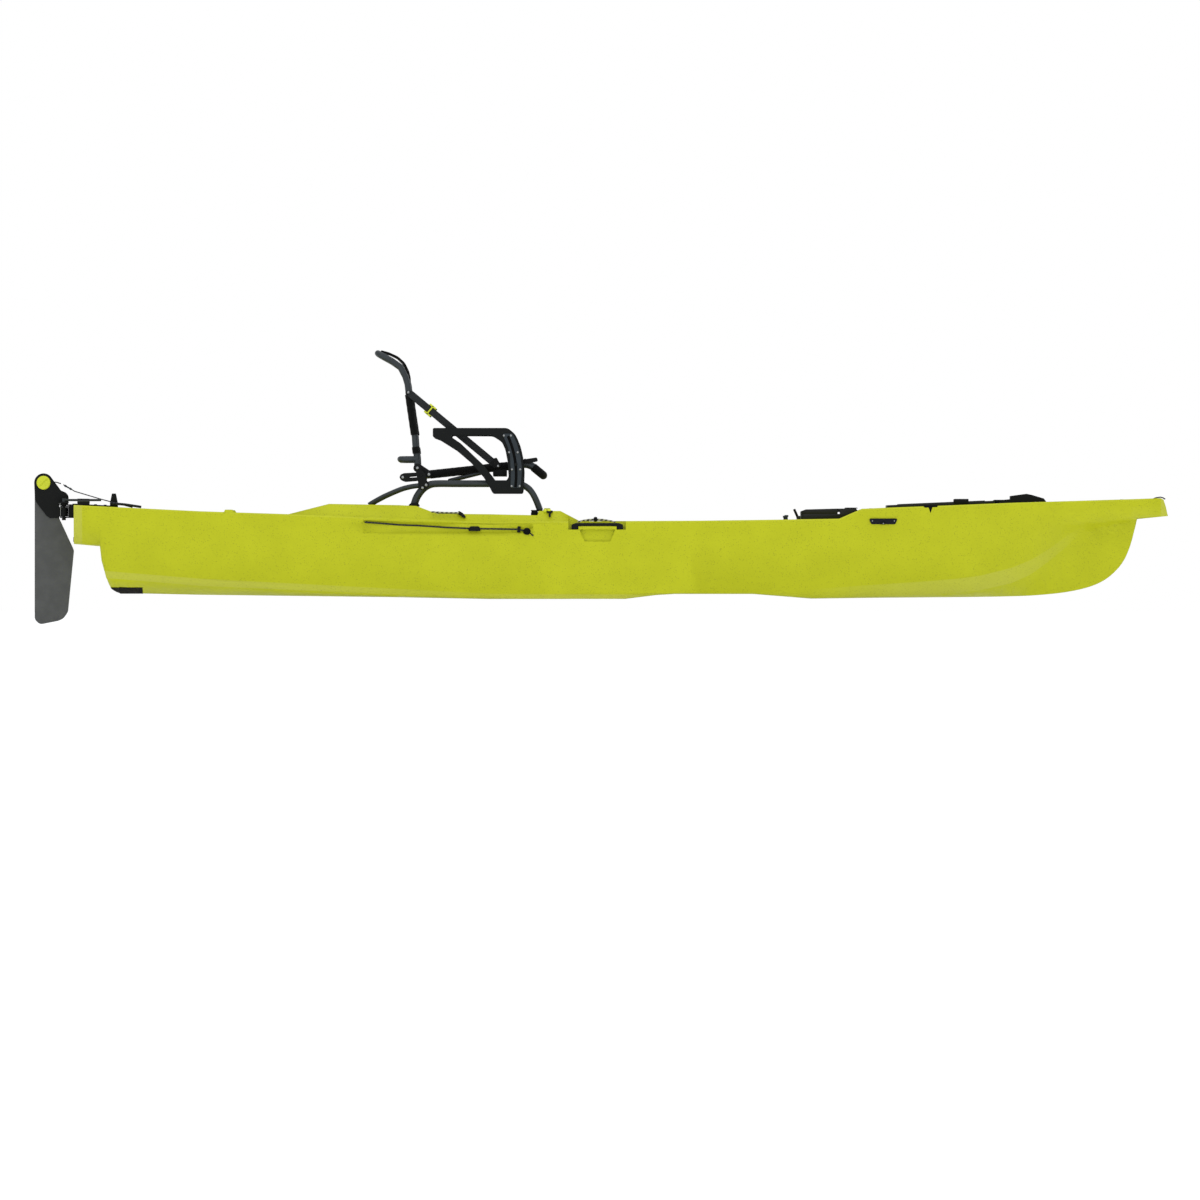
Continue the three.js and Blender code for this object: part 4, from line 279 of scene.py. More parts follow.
def tubeFinish(name, colour, metallic, roughness):
    finish = Finish(name, roughness, metallic, Specular_IOR_Level=0.3)
    base = linear(*colour)
    tone = finish.noise(18, 5.0).spread(0.3, 0.75)
    finish.feed("Base Color", finish.blend(tone, tuple(v * 0.86 for v in base),
                                           tuple(v * 1.1 for v in base)))
    finish.feed("Roughness", roughness + finish.noise(220, 3.0) * 0.12 - 0.04)
    finish.bump(finish.noise(1500, 2.0), 0.00006, 0.6)
    return finish.material


def clothFinish(name, thread, gapColour, pitch, open_=0.0):
    finish = Finish(name, 0.9, Sheen_Weight=0.04, Sheen_Roughness=0.5, Specular_IOR_Level=0.12)
    u, v = finish.unwrapped()
    turn = 2 * math.pi / pitch
    warp = (u * turn).sine().size()
    weft = (v * turn).sine().size()
    crossing = ((u * (turn / 2)).sine() * (v * (turn / 2)).sine()).spread(-0.3, 0.3)
    height = warp * crossing + weft * (1 - crossing)
    hole = (1 - warp.spread(0.12, 0.4)) * (1 - weft.spread(0.12, 0.4))
    # painted shade: the low places between the threads are painted darker, towards the gap colour
    shade = finish.blend(height.spread(0.1, 0.9), linear(*gapColour), linear(*thread))
    tone = finish.noise(35, 4.0).spread(0.3, 0.7) * 0.3
    finish.feed("Base Color", finish.blend(tone, shade, linear(*gapColour)))
    finish.feed("Roughness", 0.75 + height * 0.15)
    if open_:
        finish.feed("Alpha", 1 - hole * open_)
    finish.bump(height, 0.0006, 0.8)
    return finish.material


def webbingFinish():
    finish = Finish("strapWebbing", 0.85, Sheen_Weight=0.04, Sheen_Roughness=0.5, Specular_IOR_Level=0.15)
    u, v = finish.unwrapped()
    rib = (u * (2 * math.pi / 0.0022)).sine()
    lay = (v * (2 * math.pi / 0.003) + (u * (2 * math.pi / 0.0044)).sine() * 1.5).sine()
    height = rib * 0.5 + lay * 0.4
    # painted shade: the webbing's low places are painted darker than its raised ribs
    finish.feed("Base Color", finish.blend(height.spread(-0.8, 0.8), linear(27, 28, 29),
                                           linear(50, 52, 53)))
    finish.bump(height, 0.0004, 0.7)
    return finish.material


def cordFinish(name, main, fleck, share=0.5, pitch=0.012):
    finish = Finish(name, 0.8, Sheen_Weight=0.04, Specular_IOR_Level=0.2)
    u, v = finish.unwrapped()
    lay = (v * (2 * math.pi / pitch) + u * (2 * math.pi)).sine()
    cross = (v * (2 * math.pi / pitch * 3) - u * (6 * math.pi)).sine()
    finish.feed("Base Color", finish.blend(lay.spread(share, share + 0.15), linear(*main), linear(*fleck)))
    finish.bump(lay * 0.5 + cross * 0.5, 0.0005, 0.8)
    return finish.material


def steelFinish():
    finish = Finish("brushedSteel", 0.28, 0.95)
    streak = finish.node("ShaderNodeTexNoise", inputs={
        "Vector": finish.node("ShaderNodeMapping", inputs={"Vector": finish.place(),
                                                           "Scale": (40, 900, 900)}),
        "Scale": 1.0, "Detail": 3.0}, output="Fac")
    finish.feed("Base Color", finish.blend(streak, linear(128, 130, 131), linear(158, 160, 161)))
    finish.feed("Roughness", 0.22 + streak * 0.18)
    finish.bump(streak, 0.00005, 0.5)
    return finish.material


limeHull = limeHullFinish()
limeMoulded = mouldedFinish("limeMoulded", (208, 216, 52), 0.42, wear=0.08, coat=0.02, gloss=0.2)
blackMoulded = mouldedFinish("blackMoulded", (22, 23, 23), 0.5)
blackSatin = mouldedFinish("blackSatin", (15, 16, 17), 0.32, grain=1400, depth=0.00005, wear=0.1, coat=0.05)
navyMoulded = mouldedFinish("navyMoulded", (24, 25, 33), 0.5, wear=0.12)
slateMoulded = mouldedFinish("slateMoulded", (27, 28, 27), 0.36, grain=1300, depth=0.00008, wear=0.12,
                             coat=0.06,
                             gloss=0.2)
slatePlate = mouldedFinish("slatePlate", (52, 58, 63), 0.42, grain=1600, depth=0.00005, wear=0.1,
                           metallic=0.1)
armrestPlate = mouldedFinish("armrestPlate", (23, 25, 25), 0.52, grain=700, depth=0.00012, wear=0.08)
bladeMoulded = mouldedFinish("bladeMoulded", (86, 87, 87), 0.5, grain=600, depth=0.00008, wear=0.04)
greyTube = tubeFinish("greyTube", (50, 55, 58), 0.25, 0.4)
blackTube = tubeFinish("blackTube", (20, 22, 23), 0.15, 0.42)
blackRubber = mouldedFinish("blackRubber", (10, 10, 11), 0.7, grain=500, depth=0.0002, wear=0.1)
meshCloth = clothFinish("meshCloth", (26, 27, 28), (5, 5, 5), 0.0032, 0.3)
edgeCloth = clothFinish("edgeCloth", (14, 15, 15), (4, 4, 4), 0.0016)
strapWebbing = webbingFinish()
blackCord = cordFinish("blackCord", (26, 28, 34), (46, 48, 54), 0.2)
bungeeCord = cordFinish("bungeeCord", (62, 63, 55), (168, 168, 138), -0.05, 0.016)
steelBright = steelFinish()
print("finishes made")


# Mesh helpers

def linked(name, mesh, *materials):
    piece = bpy.data.objects.new(name, mesh)
    for material in materials:
        mesh.materials.append(material)
    bpy.context.scene.collection.objects.link(piece)
    return piece


def settled(piece):
    depsgraph = bpy.context.evaluated_depsgraph_get()
    mesh = bpy.data.meshes.new_from_object(piece.evaluated_get(depsgraph))
    piece.modifiers.clear()
    old = piece.data
    piece.data = mesh
    bpy.data.meshes.remove(old)
    return piece


def smoothed(piece, angle=32):
    for polygon in piece.data.polygons:
        polygon.use_smooth = True
    piece.data.set_sharp_from_angle(angle=math.radians(angle))
    return piece


def seated(piece, body, slot, *nodes):
    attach(piece, body)
    if nodes:
        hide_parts(*nodes)
    return piece


def mergedCopy(node):
    mesh = frame["nodes"][node].data.copy()
    edit = bmesh.new()
    edit.from_mesh(mesh)
    bmesh.ops.remove_doubles(edit, verts=edit.verts, dist=0.000002)
    bmesh.ops.dissolve_limit(edit, angle_limit=math.radians(0.6), verts=edit.verts, edges=edit.edges)
    edit.to_mesh(mesh)
    edit.free()
    mesh.materials.clear()
    return mesh


def dressed(node, material, width=0.0012, segments=2, angle=38):
    piece = linked(f"{node}_piece", mergedCopy(node), material)
    if width:
        bevel = piece.modifiers.new("edges", "BEVEL")
        bevel.width = width
        bevel.segments = segments
        bevel.limit_method = "ANGLE"
        bevel.angle_limit = math.radians(angle)
        bevel.use_clamp_overlap = True
        bevel.harden_normals = False
        settled(piece)
    smoothed(piece, 35 if width else angle)
    return seated(piece, bodyOf[node], slotOf[node], node)


def meshFrom(name, build):
    edit = bmesh.new()
    build(edit)
    bmesh.ops.recalc_face_normals(edit, faces=edit.faces)
    mesh = bpy.data.meshes.new(name)
    edit.to_mesh(mesh)
    edit.free()
    return mesh


def built(name, build, material):
    return linked(name, meshFrom(name, build), material)


def rounded(points, bend, steps=6):
    route = [Vector(points[0])]
    for before, here, after in zip(points, points[1:], points[2:]):
        before, here, after = Vector(before), Vector(here), Vector(after)
        back, ahead = before - here, after - here
        opening = back.angle(ahead)
        reach = min(bend / math.tan(opening / 2), back.length * 0.48, ahead.length * 0.48)
        start, end = here + back.normalized() * reach, here + ahead.normalized() * reach
        for step in range(steps + 1):
            t = step / steps
            route.append(start * (1 - t) ** 2 + here * (2 * t * (1 - t)) + end * t ** 2)
    route.append(Vector(points[-1]))
    return route


def joined(edit, rings, paint=None):
    # faces from each ring to the next, and one over each end
    for index, (ring, after) in enumerate(zip(rings, rings[1:])):
        for k in range(len(ring)):
            beside = (k + 1) % len(ring)
            face = edit.faces.new((ring[k], ring[beside], after[beside], after[k]))
            if paint:
                paint(face, index, k)
    edit.faces.new(list(reversed(rings[0])))
    edit.faces.new(rings[-1])


def sweep(edit, route, radius, facets=20):
    layer = edit.loops.layers.uv.get("flat") or edit.loops.layers.uv.new("flat")
    radii = radius if callable(radius) else (lambda share: radius)
    total = sum((b - a).length for a, b in zip(route, route[1:]))
    turns = [2 * math.pi * k / facets for k in range(facets)]
    rings, lengths, run = [], [], 0.0
    heading = (route[1] - route[0]).normalized()
    side = heading.orthogonal().normalized()
    for index, point in enumerate(route):
        ahead = route[min(index + 1, len(route) - 1)] - route[max(index - 1, 0)]
        turned = ahead.normalized()
        side = (side - turned * side.dot(turned)).normalized()
        up = turned.cross(side)
        if index:
            run += (point - route[index - 1]).length
        size = radii(run / total)
        rings.append([edit.verts.new(point + side * (size * math.cos(turn)) + up * (size * math.sin(turn)))
                      for turn in turns])
        lengths.append(run)

    def paint(face, index, k):
        corners = ((k, index), (k + 1, index), (k + 1, index + 1), (k, index + 1))
        for loop, (around, along) in zip(face.loops, corners):
            loop[layer].uv = (around / facets, lengths[along])
    joined(edit, rings, paint)


def tubes(name, routes, material, facets=20):
    def build(edit):
        for route, radius in routes:
            sweep(edit, route, radius, facets)
    return smoothed(built(name, build, material), 40)


def roundBox(edit, low, high):
    for vertex in bmesh.ops.create_cube(edit, size=1.0)["verts"]:
        vertex.co = Vector([low[k] + (vertex.co[k] + 0.5) * (high[k] - low[k]) for k in range(3)])


def drum(edit, start, end, radius, facets=24):
    sweep(edit, [Vector(start), Vector(end)], radius, facets)


def prism(edit, outline, near, far):
    low = [edit.verts.new((x, near, z)) for x, z in outline]
    high = [edit.verts.new((x, far, z)) for x, z in outline]
    edit.faces.new(low)
    edit.faces.new(high)
    for k in range(len(outline)):
        following = (k + 1) % len(outline)
        edit.faces.new((low[k], low[following], high[following], high[k]))


def roundedOutline(points, bend, steps=5):
    # a closed outline in X and Z with every corner rounded by its own bend
    bends = bend if isinstance(bend, (list, tuple)) else [bend] * len(points)
    outline = []
    for index, here in enumerate(points):
        before, after = Vector(points[index - 1]), Vector(points[(index + 1) % len(points)])
        here = Vector(here)
        back, ahead = before - here, after - here
        turn = math.pi - back.angle(ahead)
        reach = min(bends[index] * math.tan(turn / 2), back.length * 0.49, ahead.length * 0.49)
        start, end = here + back.normalized() * reach, here + ahead.normalized() * reach
        for step in range(steps + 1):
            t = step / steps
            outline.append(tuple(start * (1 - t) ** 2 + here * (2 * t * (1 - t)) + end * t ** 2))
    return outline


def cutPlate(name, outlines, near, far, material, edge=0.0008, steps=2):
    # a flat plate with holes and rounded edges, standing between two places across the boat
    curve = bpy.data.curves.new(name, "CURVE")
    curve.dimensions = "2D"
    curve.fill_mode = "BOTH"
    curve.extrude = abs(far - near) / 2 - edge
    curve.bevel_depth = edge
    curve.bevel_resolution = steps
    curve.offset = -edge
    for outline in outlines:
        spline = curve.splines.new("POLY")
        spline.points.add(len(outline) - 1)
        for point, (x, z) in zip(spline.points, outline):
            point.co = (x, z, 0, 1)
        spline.use_cyclic_u = True
    shape = bpy.data.objects.new(name, curve)
    bpy.context.scene.collection.objects.link(shape)
    mesh = bpy.data.meshes.new_from_object(shape.evaluated_get(bpy.context.evaluated_depsgraph_get()))
    bpy.data.objects.remove(shape)
    bpy.data.curves.remove(curve)
    edit = bmesh.new()
    edit.from_mesh(mesh)
    for vertex in edit.verts:
        x, z, y = vertex.co
        vertex.co = (x, (near + far) / 2 + y, z)
    bmesh.ops.remove_doubles(edit, verts=edit.verts, dist=0.000002)
    bmesh.ops.recalc_face_normals(edit, faces=edit.faces)
    edit.to_mesh(mesh)
    edit.free()
    mesh.materials.clear()
    mesh.name = name
    return smoothed(linked(name, mesh, material), 40)


def bevelled(piece, width, segments=3):
    modifier = piece.modifiers.new("edges", "BEVEL")
    modifier.width = width
    modifier.segments = segments
    modifier.limit_method = "ANGLE"
    modifier.angle_limit = math.radians(35)
    settled(piece)
    return smoothed(piece, 40)


def alongY(x, near, far, z):
    return [Vector((x, near, z)), Vector((x, far, z))]


def flowing(points, steps=5):
    # a smooth line through every point
    line = [Vector(point) for point in points]
    route = [line[0]]
    for index in range(len(line) - 1):
        before = line[max(index - 1, 0)]
        here, there = line[index], line[index + 1]
        after = line[min(index + 2, len(line) - 1)]
        for step in range(1, steps + 1):
            t = step / steps
            second = 2 * before - 5 * here + 4 * there - after
            third = 3 * here - before - 3 * there + after
            route.append(0.5 * (2 * here + (there - before) * t + second * t ** 2 + third * t ** 3))
    return route


# Screws, bolts and rivets: one tree puts a head on each point and turns it to the point's own direction

def fastenerTree(name, material):
    tree = bpy.data.node_groups.new(name, "GeometryNodeTree")
    tree.interface.new_socket("Geometry", in_out="INPUT", socket_type="NodeSocketGeometry")
    tree.interface.new_socket("Radius", in_out="INPUT", socket_type="NodeSocketFloat")
    tree.interface.new_socket("Rise", in_out="INPUT", socket_type="NodeSocketFloat")
    tree.interface.new_socket("Geometry", in_out="OUTPUT", socket_type="NodeSocketGeometry")
    nodes, links = tree.nodes, tree.links
    start, end = nodes.new("NodeGroupInput"), nodes.new("NodeGroupOutput")
    head = nodes.new("GeometryNodeMeshUVSphere")
    head.inputs["Segments"].default_value = 14
    head.inputs["Rings"].default_value = 8
    links.new(start.outputs["Radius"], head.inputs["Radius"])
    flatten = nodes.new("GeometryNodeTransform")
    scale = nodes.new("ShaderNodeCombineXYZ")
    scale.inputs[0].default_value = 1
    scale.inputs[1].default_value = 1
    links.new(start.outputs["Rise"], scale.inputs[2])
    links.new(head.outputs["Mesh"], flatten.inputs["Geometry"])
    links.new(scale.outputs[0], flatten.inputs["Scale"])
    direction = nodes.new("GeometryNodeInputNamedAttribute")
    direction.data_type = "FLOAT_VECTOR"
    direction.inputs["Name"].default_value = "facing"
    align = nodes.new("FunctionNodeAlignRotationToVector")
    align.axis = "Z"
    links.new(direction.outputs["Attribute"], align.inputs["Vector"])
    copies = nodes.new("GeometryNodeInstanceOnPoints")
    links.new(start.outputs["Geometry"], copies.inputs["Points"])
    links.new(flatten.outputs["Geometry"], copies.inputs["Instance"])
    links.new(align.outputs["Rotation"], copies.inputs["Rotation"])
    real = nodes.new("GeometryNodeRealizeInstances")
    links.new(copies.outputs["Instances"], real.inputs["Geometry"])
    finish = nodes.new("GeometryNodeSetMaterial")
    finish.inputs["Material"].default_value = material
    links.new(real.outputs["Geometry"], finish.inputs["Geometry"])
    links.new(finish.outputs["Geometry"], end.inputs["Geometry"])
    return tree


def fasteners(name, heads, radius, rise, material, body, slot):
    mesh = bpy.data.meshes.new(name)
    mesh.from_pydata([place for place, _ in heads], [], [])
    facing = mesh.attributes.new("facing", "FLOAT_VECTOR", "POINT")
    facing.data.foreach_set("vector", [value for _, way in heads for value in way])
    piece = linked(name, mesh, material)
    modifier = piece.modifiers.new("heads", "NODES")
    tree = fastenerTree(f"{name}_tree", material)
    modifier.node_group = tree
    sockets = {item.name: item.identifier for item in tree.interface.items_tree if item.in_out == "INPUT"}
    modifier[sockets["Radius"]] = radius
    modifier[sockets["Rise"]] = rise
    settled(piece)
    for polygon in piece.data.polygons:
        polygon.use_smooth = True
    return seated(piece, body, slot)


def onBothSides(places, out):
    # a head on each side at each place, facing out
    return [((x, out * side, z), (0, side, 0)) for x, z in places for _, side in sides]


# Hull

stemLine = [(1.447, 0.0069), (1.6527, 0.0096), (1.7499, 0.0134), (1.8472, 0.0231), (1.9228, 0.0382),
            (1.9768, 0.0582), (2.0201, 0.0879), (2.0579, 0.1312), (2.0822, 0.1852), (2.0984, 0.2446),
            (2.1076, 0.2835)]
sternLine = [(-1.5410, 0.1080), (-1.5296, 0.0773), (-1.5155, 0.0428), (-1.4993, 0.0286), (-1.4790, 0.0214),
             (-1.4500, 0.0203), (-1.4200, 0.0200)]


def surfaceOf(mesh):
    return BVHTree.FromPolygons([vertex.co for vertex in mesh.vertices],
                                [face.vertices for face in mesh.polygons])


def rolledOn(mesh, line, hub, first, last, stride, near):
    # the faceted keel is cut finer by planes through a hub, and drawn out to a smooth line in X and Z
    def polar(x, z):
        return math.degrees(math.atan2(z - hub[1], x - hub[0])), math.hypot(x - hub[0], z - hub[1])
    surface = surfaceOf(mesh)
    fine = [float(angle) for angle in np.arange(first, last, 0.2)]
    curve = sorted(polar(point.x, point.z) for point in flowing([(x, 0, z) for x, z in line]))
    wanted = np.interp(fine, [angle for angle, _ in curve], [reach for _, reach in curve])
    present = []
    for angle in fine:
        way = Vector((math.cos(math.radians(angle)), 0, math.sin(math.radians(angle))))
        hit = surface.ray_cast(Vector((hub[0], 0.0003, hub[1])) + way * 1.5, -way)
        present.append(1.5 - hit[3])
    edit = bmesh.new()
    edit.from_mesh(mesh)
    for angle in np.arange(first, last, stride):
        turn = math.radians(float(angle))
        faces = [face for face in edit.faces if all(near(vertex.co) for vertex in face.verts)]
        corners = {vertex for face in faces for vertex in face.verts}
        edges = {border for face in faces for border in face.edges}
        parts = list(corners) + list(edges)
        bmesh.ops.bisect_plane(edit, geom=parts + faces, dist=0.00001, plane_co=(hub[0], 0, hub[1]),
                               plane_no=(-math.sin(turn), 0, math.cos(turn)))
    largest = 0.0
    for vertex in edit.verts:
        angle, reach = polar(vertex.co.x, vertex.co.z)
        if not near(vertex.co) or not first < angle < last:
            continue
        old, new = np.interp(angle, fine, present), np.interp(angle, fine, wanted)
        share = min(1.0, max(0.0, (reach / old - 0.62) / 0.34))
        ends = min(1.0, (angle - first) / 6, (last - angle) / 4)
        shift = (new - old) * share * share * (3 - 2 * share) * ends
        largest = max(largest, abs(shift))
        vertex.co.x += shift * math.cos(math.radians(angle))
        vertex.co.z += shift * math.sin(math.radians(angle))
    edit.to_mesh(mesh)
    edit.free()
    print("keel line drawn smooth, moved at most", round(largest * 1000, 1), "mm")
    return mesh


def rakedNose(mesh):
    # the bow's end leans back, and the rail's underside runs straighter to it
    for vertex in mesh.vertices:
        if vertex.co.x > 2.19 and vertex.co.z > 0.29:
            vertex.co.x -= 0.017 * min(1.0, max(0.0, (vertex.co.z - 0.300) / 0.0526))
        if vertex.co.x > 2.09 and 0.262 < vertex.co.z < 0.318:
            vertex.co.z += float(np.interp(vertex.co.x, [2.09, 2.107, 2.2165], [0.0, 0.0070, -0.0080]))
    return mesh


def shallower(mesh, low, high, rise):
    # the floor of a recess in the side is brought out by a little, so it shows as the slight one that it is
    surface = surfaceOf(mesh)
    floor = []
    for vertex in mesh.vertices:
        x, y, z = vertex.co
        if not (low[0] < x < high[0] and low[1] < z < high[1] and abs(y) > 0.36):
            continue
        side = 1 if y > 0 else -1
        nearby = Vector((x + math.copysign(0.0015, (low[0] + high[0]) / 2 - x), side,
                         z + math.copysign(0.0015, (low[1] + high[1]) / 2 - z)))
        hit = surface.ray_cast(nearby, Vector((0, -side, 0)))[0]
        if hit is not None and abs(hit.y - y) < 0.0013:
            floor.append((vertex, rise * side))
    for vertex, out in floor:
        vertex.co.y += out
    print("recess vertices brought out:", len(floor))
    return mesh


hullMesh = mergedCopy("hull_shell")
rolledOn(hullMesh, stemLine, (1.70, 0.50), -114.0, -28.0, 2.5,
         lambda place: place.x > 1.30 and place.z < 0.34)
rolledOn(hullMesh, sternLine, (-1.42, 0.14), -158.0, -96.0, 4.0,
         lambda place: place.x < -1.43 and place.z < 0.115)
rakedNose(hullMesh)
shallower(hullMesh, (-0.628, 0.2265), (-0.016, 0.2760), 0.0022)
hull = linked("hull_shell_piece", hullMesh, limeHull)
smoothed(hull, 27)
seated(hull, "hull", "lime_shell", "hull_shell")
hullSurface = surfaceOf(hull.data)


def sideAt(x, z, side):
    # how far out the hull's side is
    hit = hullSurface.ray_cast(Vector((x, side, z)), Vector((0, -side, 0)))
    place = hit[0] or hullSurface.find_nearest(Vector((x, 0.42 * side, z)))[0]
    return abs(place.y)


def sidePlate(name, outlines, side, sink, rise, material, edge=0.0008, steps=2, level=None):
    # a plate that follows the hull's side, or the side's line at one level
    piece = cutPlate(name, outlines, -sink, rise, material, edge, steps)
    for vertex in piece.data.vertices:
        vertex.co.y = (sideAt(vertex.co.x, level or vertex.co.z, side) + vertex.co.y) * side
    if side < 0:
        piece.data.flip_normals()
    return smoothed(piece, 40)


dressed("keel_skid_plate", blackRubber, 0.0006)
dressed("drain_plug", blackMoulded, 0.0007)
for name, _ in sides:
    dressed(f"gear_track_{name}", slatePlate, 0.0006)
    dressed(f"side_handle_{name}", blackMoulded, 0.0022, 3)
dressed("bow_handle", blackRubber, 0.0008)


def bowSide():
    pad = [(1.1560, 0.2829), (1.2590, 0.2829), (1.2495, 0.2627), (1.1660, 0.2627)]
    lug = [(1.1976, 0.2694), (1.2179, 0.2694), (1.2150, 0.2618), (1.2005, 0.2618)]
    plug = [(1.3480, 0.3300), (1.4010, 0.3300), (1.3850, 0.3050), (1.3745, 0.3015), (1.3640, 0.3050)]
    heads = []
    for name, side in sides:
        fitting = sidePlate(f"bow_side_fitting_{name}_pad", [roundedOutline(pad, 0.006)], side, 0.001,
                            0.0052, navyMoulded, 0.0016, 3)
        seated(fitting, "hull", slotOf[f"bow_side_fitting_{name}"], f"bow_side_fitting_{name}")
        seated(sidePlate(f"bow_side_lug_{name}", [roundedOutline(lug, 0.0025)], side, -0.004, 0.0085,
                         blackMoulded, 0.001),
               "hull", "black_plastic")
        seated(sidePlate(f"bow_side_plug_{name}", [roundedOutline(plug,
                                                                  [0.003, 0.003, 0.006, 0.01, 0.006])],
                         side, 0.009, 0.0012, blackRubber, 0.0008, 2, 0.291), "hull", "black_plastic")
        heads += [((x, (sideAt(x, 0.2744, side) + 0.0053) * side, 0.2744), (0, side, 0)) for x in (1.1690,
                                                                                                   1.2465)]
        heads += [((1.2078, (sideAt(1.2078, 0.2656, side) + 0.0086) * side, 0.2656), (0, side, 0))]
    fasteners("bow_side_screws", heads, 0.0024, 0.45, steelBright, "hull", "steel")


def keelGuard():
    # hard cover over the keel's stern end, a little proud of the hull's skin
    reach = {"aft": -1.523, "fore": -1.401, "top": 0.041, "proud": 0.0012, "thick": 0.0022}
    mesh = hull.data.copy()
    edit = bmesh.new()
    edit.from_mesh(mesh)
    for place, way in (((reach["aft"], 0, 0), (-1, 0, 0)), ((reach["fore"], 0, 0), (1, 0, 0)),
                       ((0, 0, reach["top"]), (0, 0, 1))):
        bmesh.ops.bisect_plane(edit, geom=edit.verts[:] + edit.edges[:] + edit.faces[:], dist=0.00001,
                               plane_co=place,
                               plane_no=way, clear_outer=True)
    bmesh.ops.delete(edit,
                     geom=[face for face in edit.faces if face.normal.z > -0.03 or face.calc_area() < 2e-7],
                     context="FACES")
    bmesh.ops.dissolve_limit(edit, angle_limit=math.radians(1), verts=edit.verts, edges=edit.edges)
    edit.normal_update()
    for vertex in edit.verts:
        vertex.co += vertex.normal * reach["proud"]
    edit.to_mesh(mesh)
    edit.free()
    mesh.materials.clear()
    piece = linked("keel_guard_stern", mesh, blackRubber)
    wall = piece.modifiers.new("wall", "SOLIDIFY")
    wall.thickness = reach["thick"]
    wall.offset = -1.0
    settled(piece)
    seated(smoothed(piece, 35), "hull", slotOf["keel_skid_plate"])


def topAt(x, y):
    # how high the deck is
    hit = hullSurface.ray_cast(Vector((x, y, 1.0)), Vector((0, 0, -1)))
    return hit[0].z if hit[0] else 0.31


def cordEyes():
    outline = [(-0.0785, 0.2550), (-0.0675, 0.2550), (-0.0675, 0.2335), (-0.0785, 0.2335)]
    for name, side in sides:
        eye = sidePlate(f"side_cord_eye_{name}_clip", [roundedOutline(outline, 0.0025)], side, 0.002,
                        0.0068, blackMoulded, 0.0012, 3, 0.2440)
        seated(eye, "hull", slotOf[f"side_cord_eye_{name}"], f"side_cord_eye_{name}")


def sideDeck():
    hook = [(-0.2885, 0.3065), (-0.2825, 0.3095), (-0.2755, 0.3055), (-0.2635, 0.2945), (-0.2590, 0.2885),
            (-0.2625, 0.2850), (-0.2685, 0.2855), (-0.2800, 0.2955), (-0.2875, 0.2990)]
    peg = [(0.0240, 0.3045), (0.0240, 0.3108), (0.0460, 0.3108), (0.0460, 0.3045), (0.0390, 0.3030),
           (0.0385, 0.2885), (0.0315, 0.2885), (0.0310, 0.3030)]
    for name, side in sides:
        seated(sidePlate(f"deck_hook_{name}", [roundedOutline(hook, 0.003)], side, 0.001, 0.0060,
                         blackMoulded, 0.0014, 3),
               "hull", "black_plastic")
        seated(sidePlate(f"side_peg_{name}", [roundedOutline(peg, 0.0022)], side, 0.001, 0.0050,
                         blackMoulded, 0.0012, 3),
               "hull", "black_plastic")

        def knobs(edit):
            for x, size in ((0.0185, 0.0075), (0.0335, 0.0080)):
                y = 0.407 * side
                rise = topAt(x, y)
                for vertex in bmesh.ops.create_uvsphere(edit, u_segments=24, v_segments=14,
                                                        radius=1.0)["verts"]:
                    vertex.co = Vector((x + vertex.co.x * size, y + vertex.co.y * 0.009,
                                        rise + vertex.co.z * 0.0068))
        seated(smoothed(built(f"deck_studs_{name}", knobs, limeMoulded), 60), "hull", "lime_trim")


bowSide()
keelGuard()
cordEyes()
sideDeck()
print("hull and its fittings dressed")

# Bow hatch and console
dressed("bow_hatch_rim", blackRubber, 0.0012)
dressed("bow_hatch_lid", slateMoulded, 0.0018, 3)
dressed("bow_hatch_hinge_cover", blackMoulded, 0.0030, 3)
for name, _ in sides:
    dressed(f"bow_hatch_latch_{name}", blackMoulded, 0.0012)
dressed("console_box", slateMoulded, 0.0022, 3)
dressed("console_lid", slateMoulded, 0.0022, 3)
dressed("console_cap", blackMoulded, 0.0010)
dressed("deck_port_cap", blackMoulded, 0.0012)
dressed("deck_lever", blackMoulded, 0.0010)
print("bow hatch and console dressed")

# Seat: tubes drawn round, from the same routes as the solids
seatTube = {"side": 0.285, "radius": 0.011, "cross": 0.009, "rearCrossX": -0.372, "crossZ": 0.4069,
            "corner": (-0.4441, 0.3329), "width": 0.443, "height": 0.074}
frameShares = [(0, 0), (0.046, 0.487), (0.137, 1), (0.803, 1), (0.874, 0.878), (0.93, 0.668),
               (0.976, 0.181), (1.001, -0.1)]
framePath = [(seatTube["corner"][0] + across * seatTube["width"],
              seatTube["corner"][1] + up * seatTube["height"])
             for across, up in frameShares]
frameLine = [(-0.4441, 0.3329), (-0.4343, 0.3600), (-0.4154, 0.3862), (-0.3918, 0.4020), (-0.3634, 0.4070),
             (-0.2925, 0.4069), (-0.1743, 0.4069), (-0.0850, 0.4066), (-0.0640, 0.4030), (-0.0440, 0.3925),
             (-0.0290, 0.3770), (-0.0170, 0.3560), (-0.0080, 0.3350), (0.0000, 0.3135)]


seatFoot = {"half": 0.017, "aft": -0.0035, "fore": 0.009, "knobX": -0.0185, "knobY": 0.312,
            "knobFoot": 0.2950, "knobRise": 0.0160}


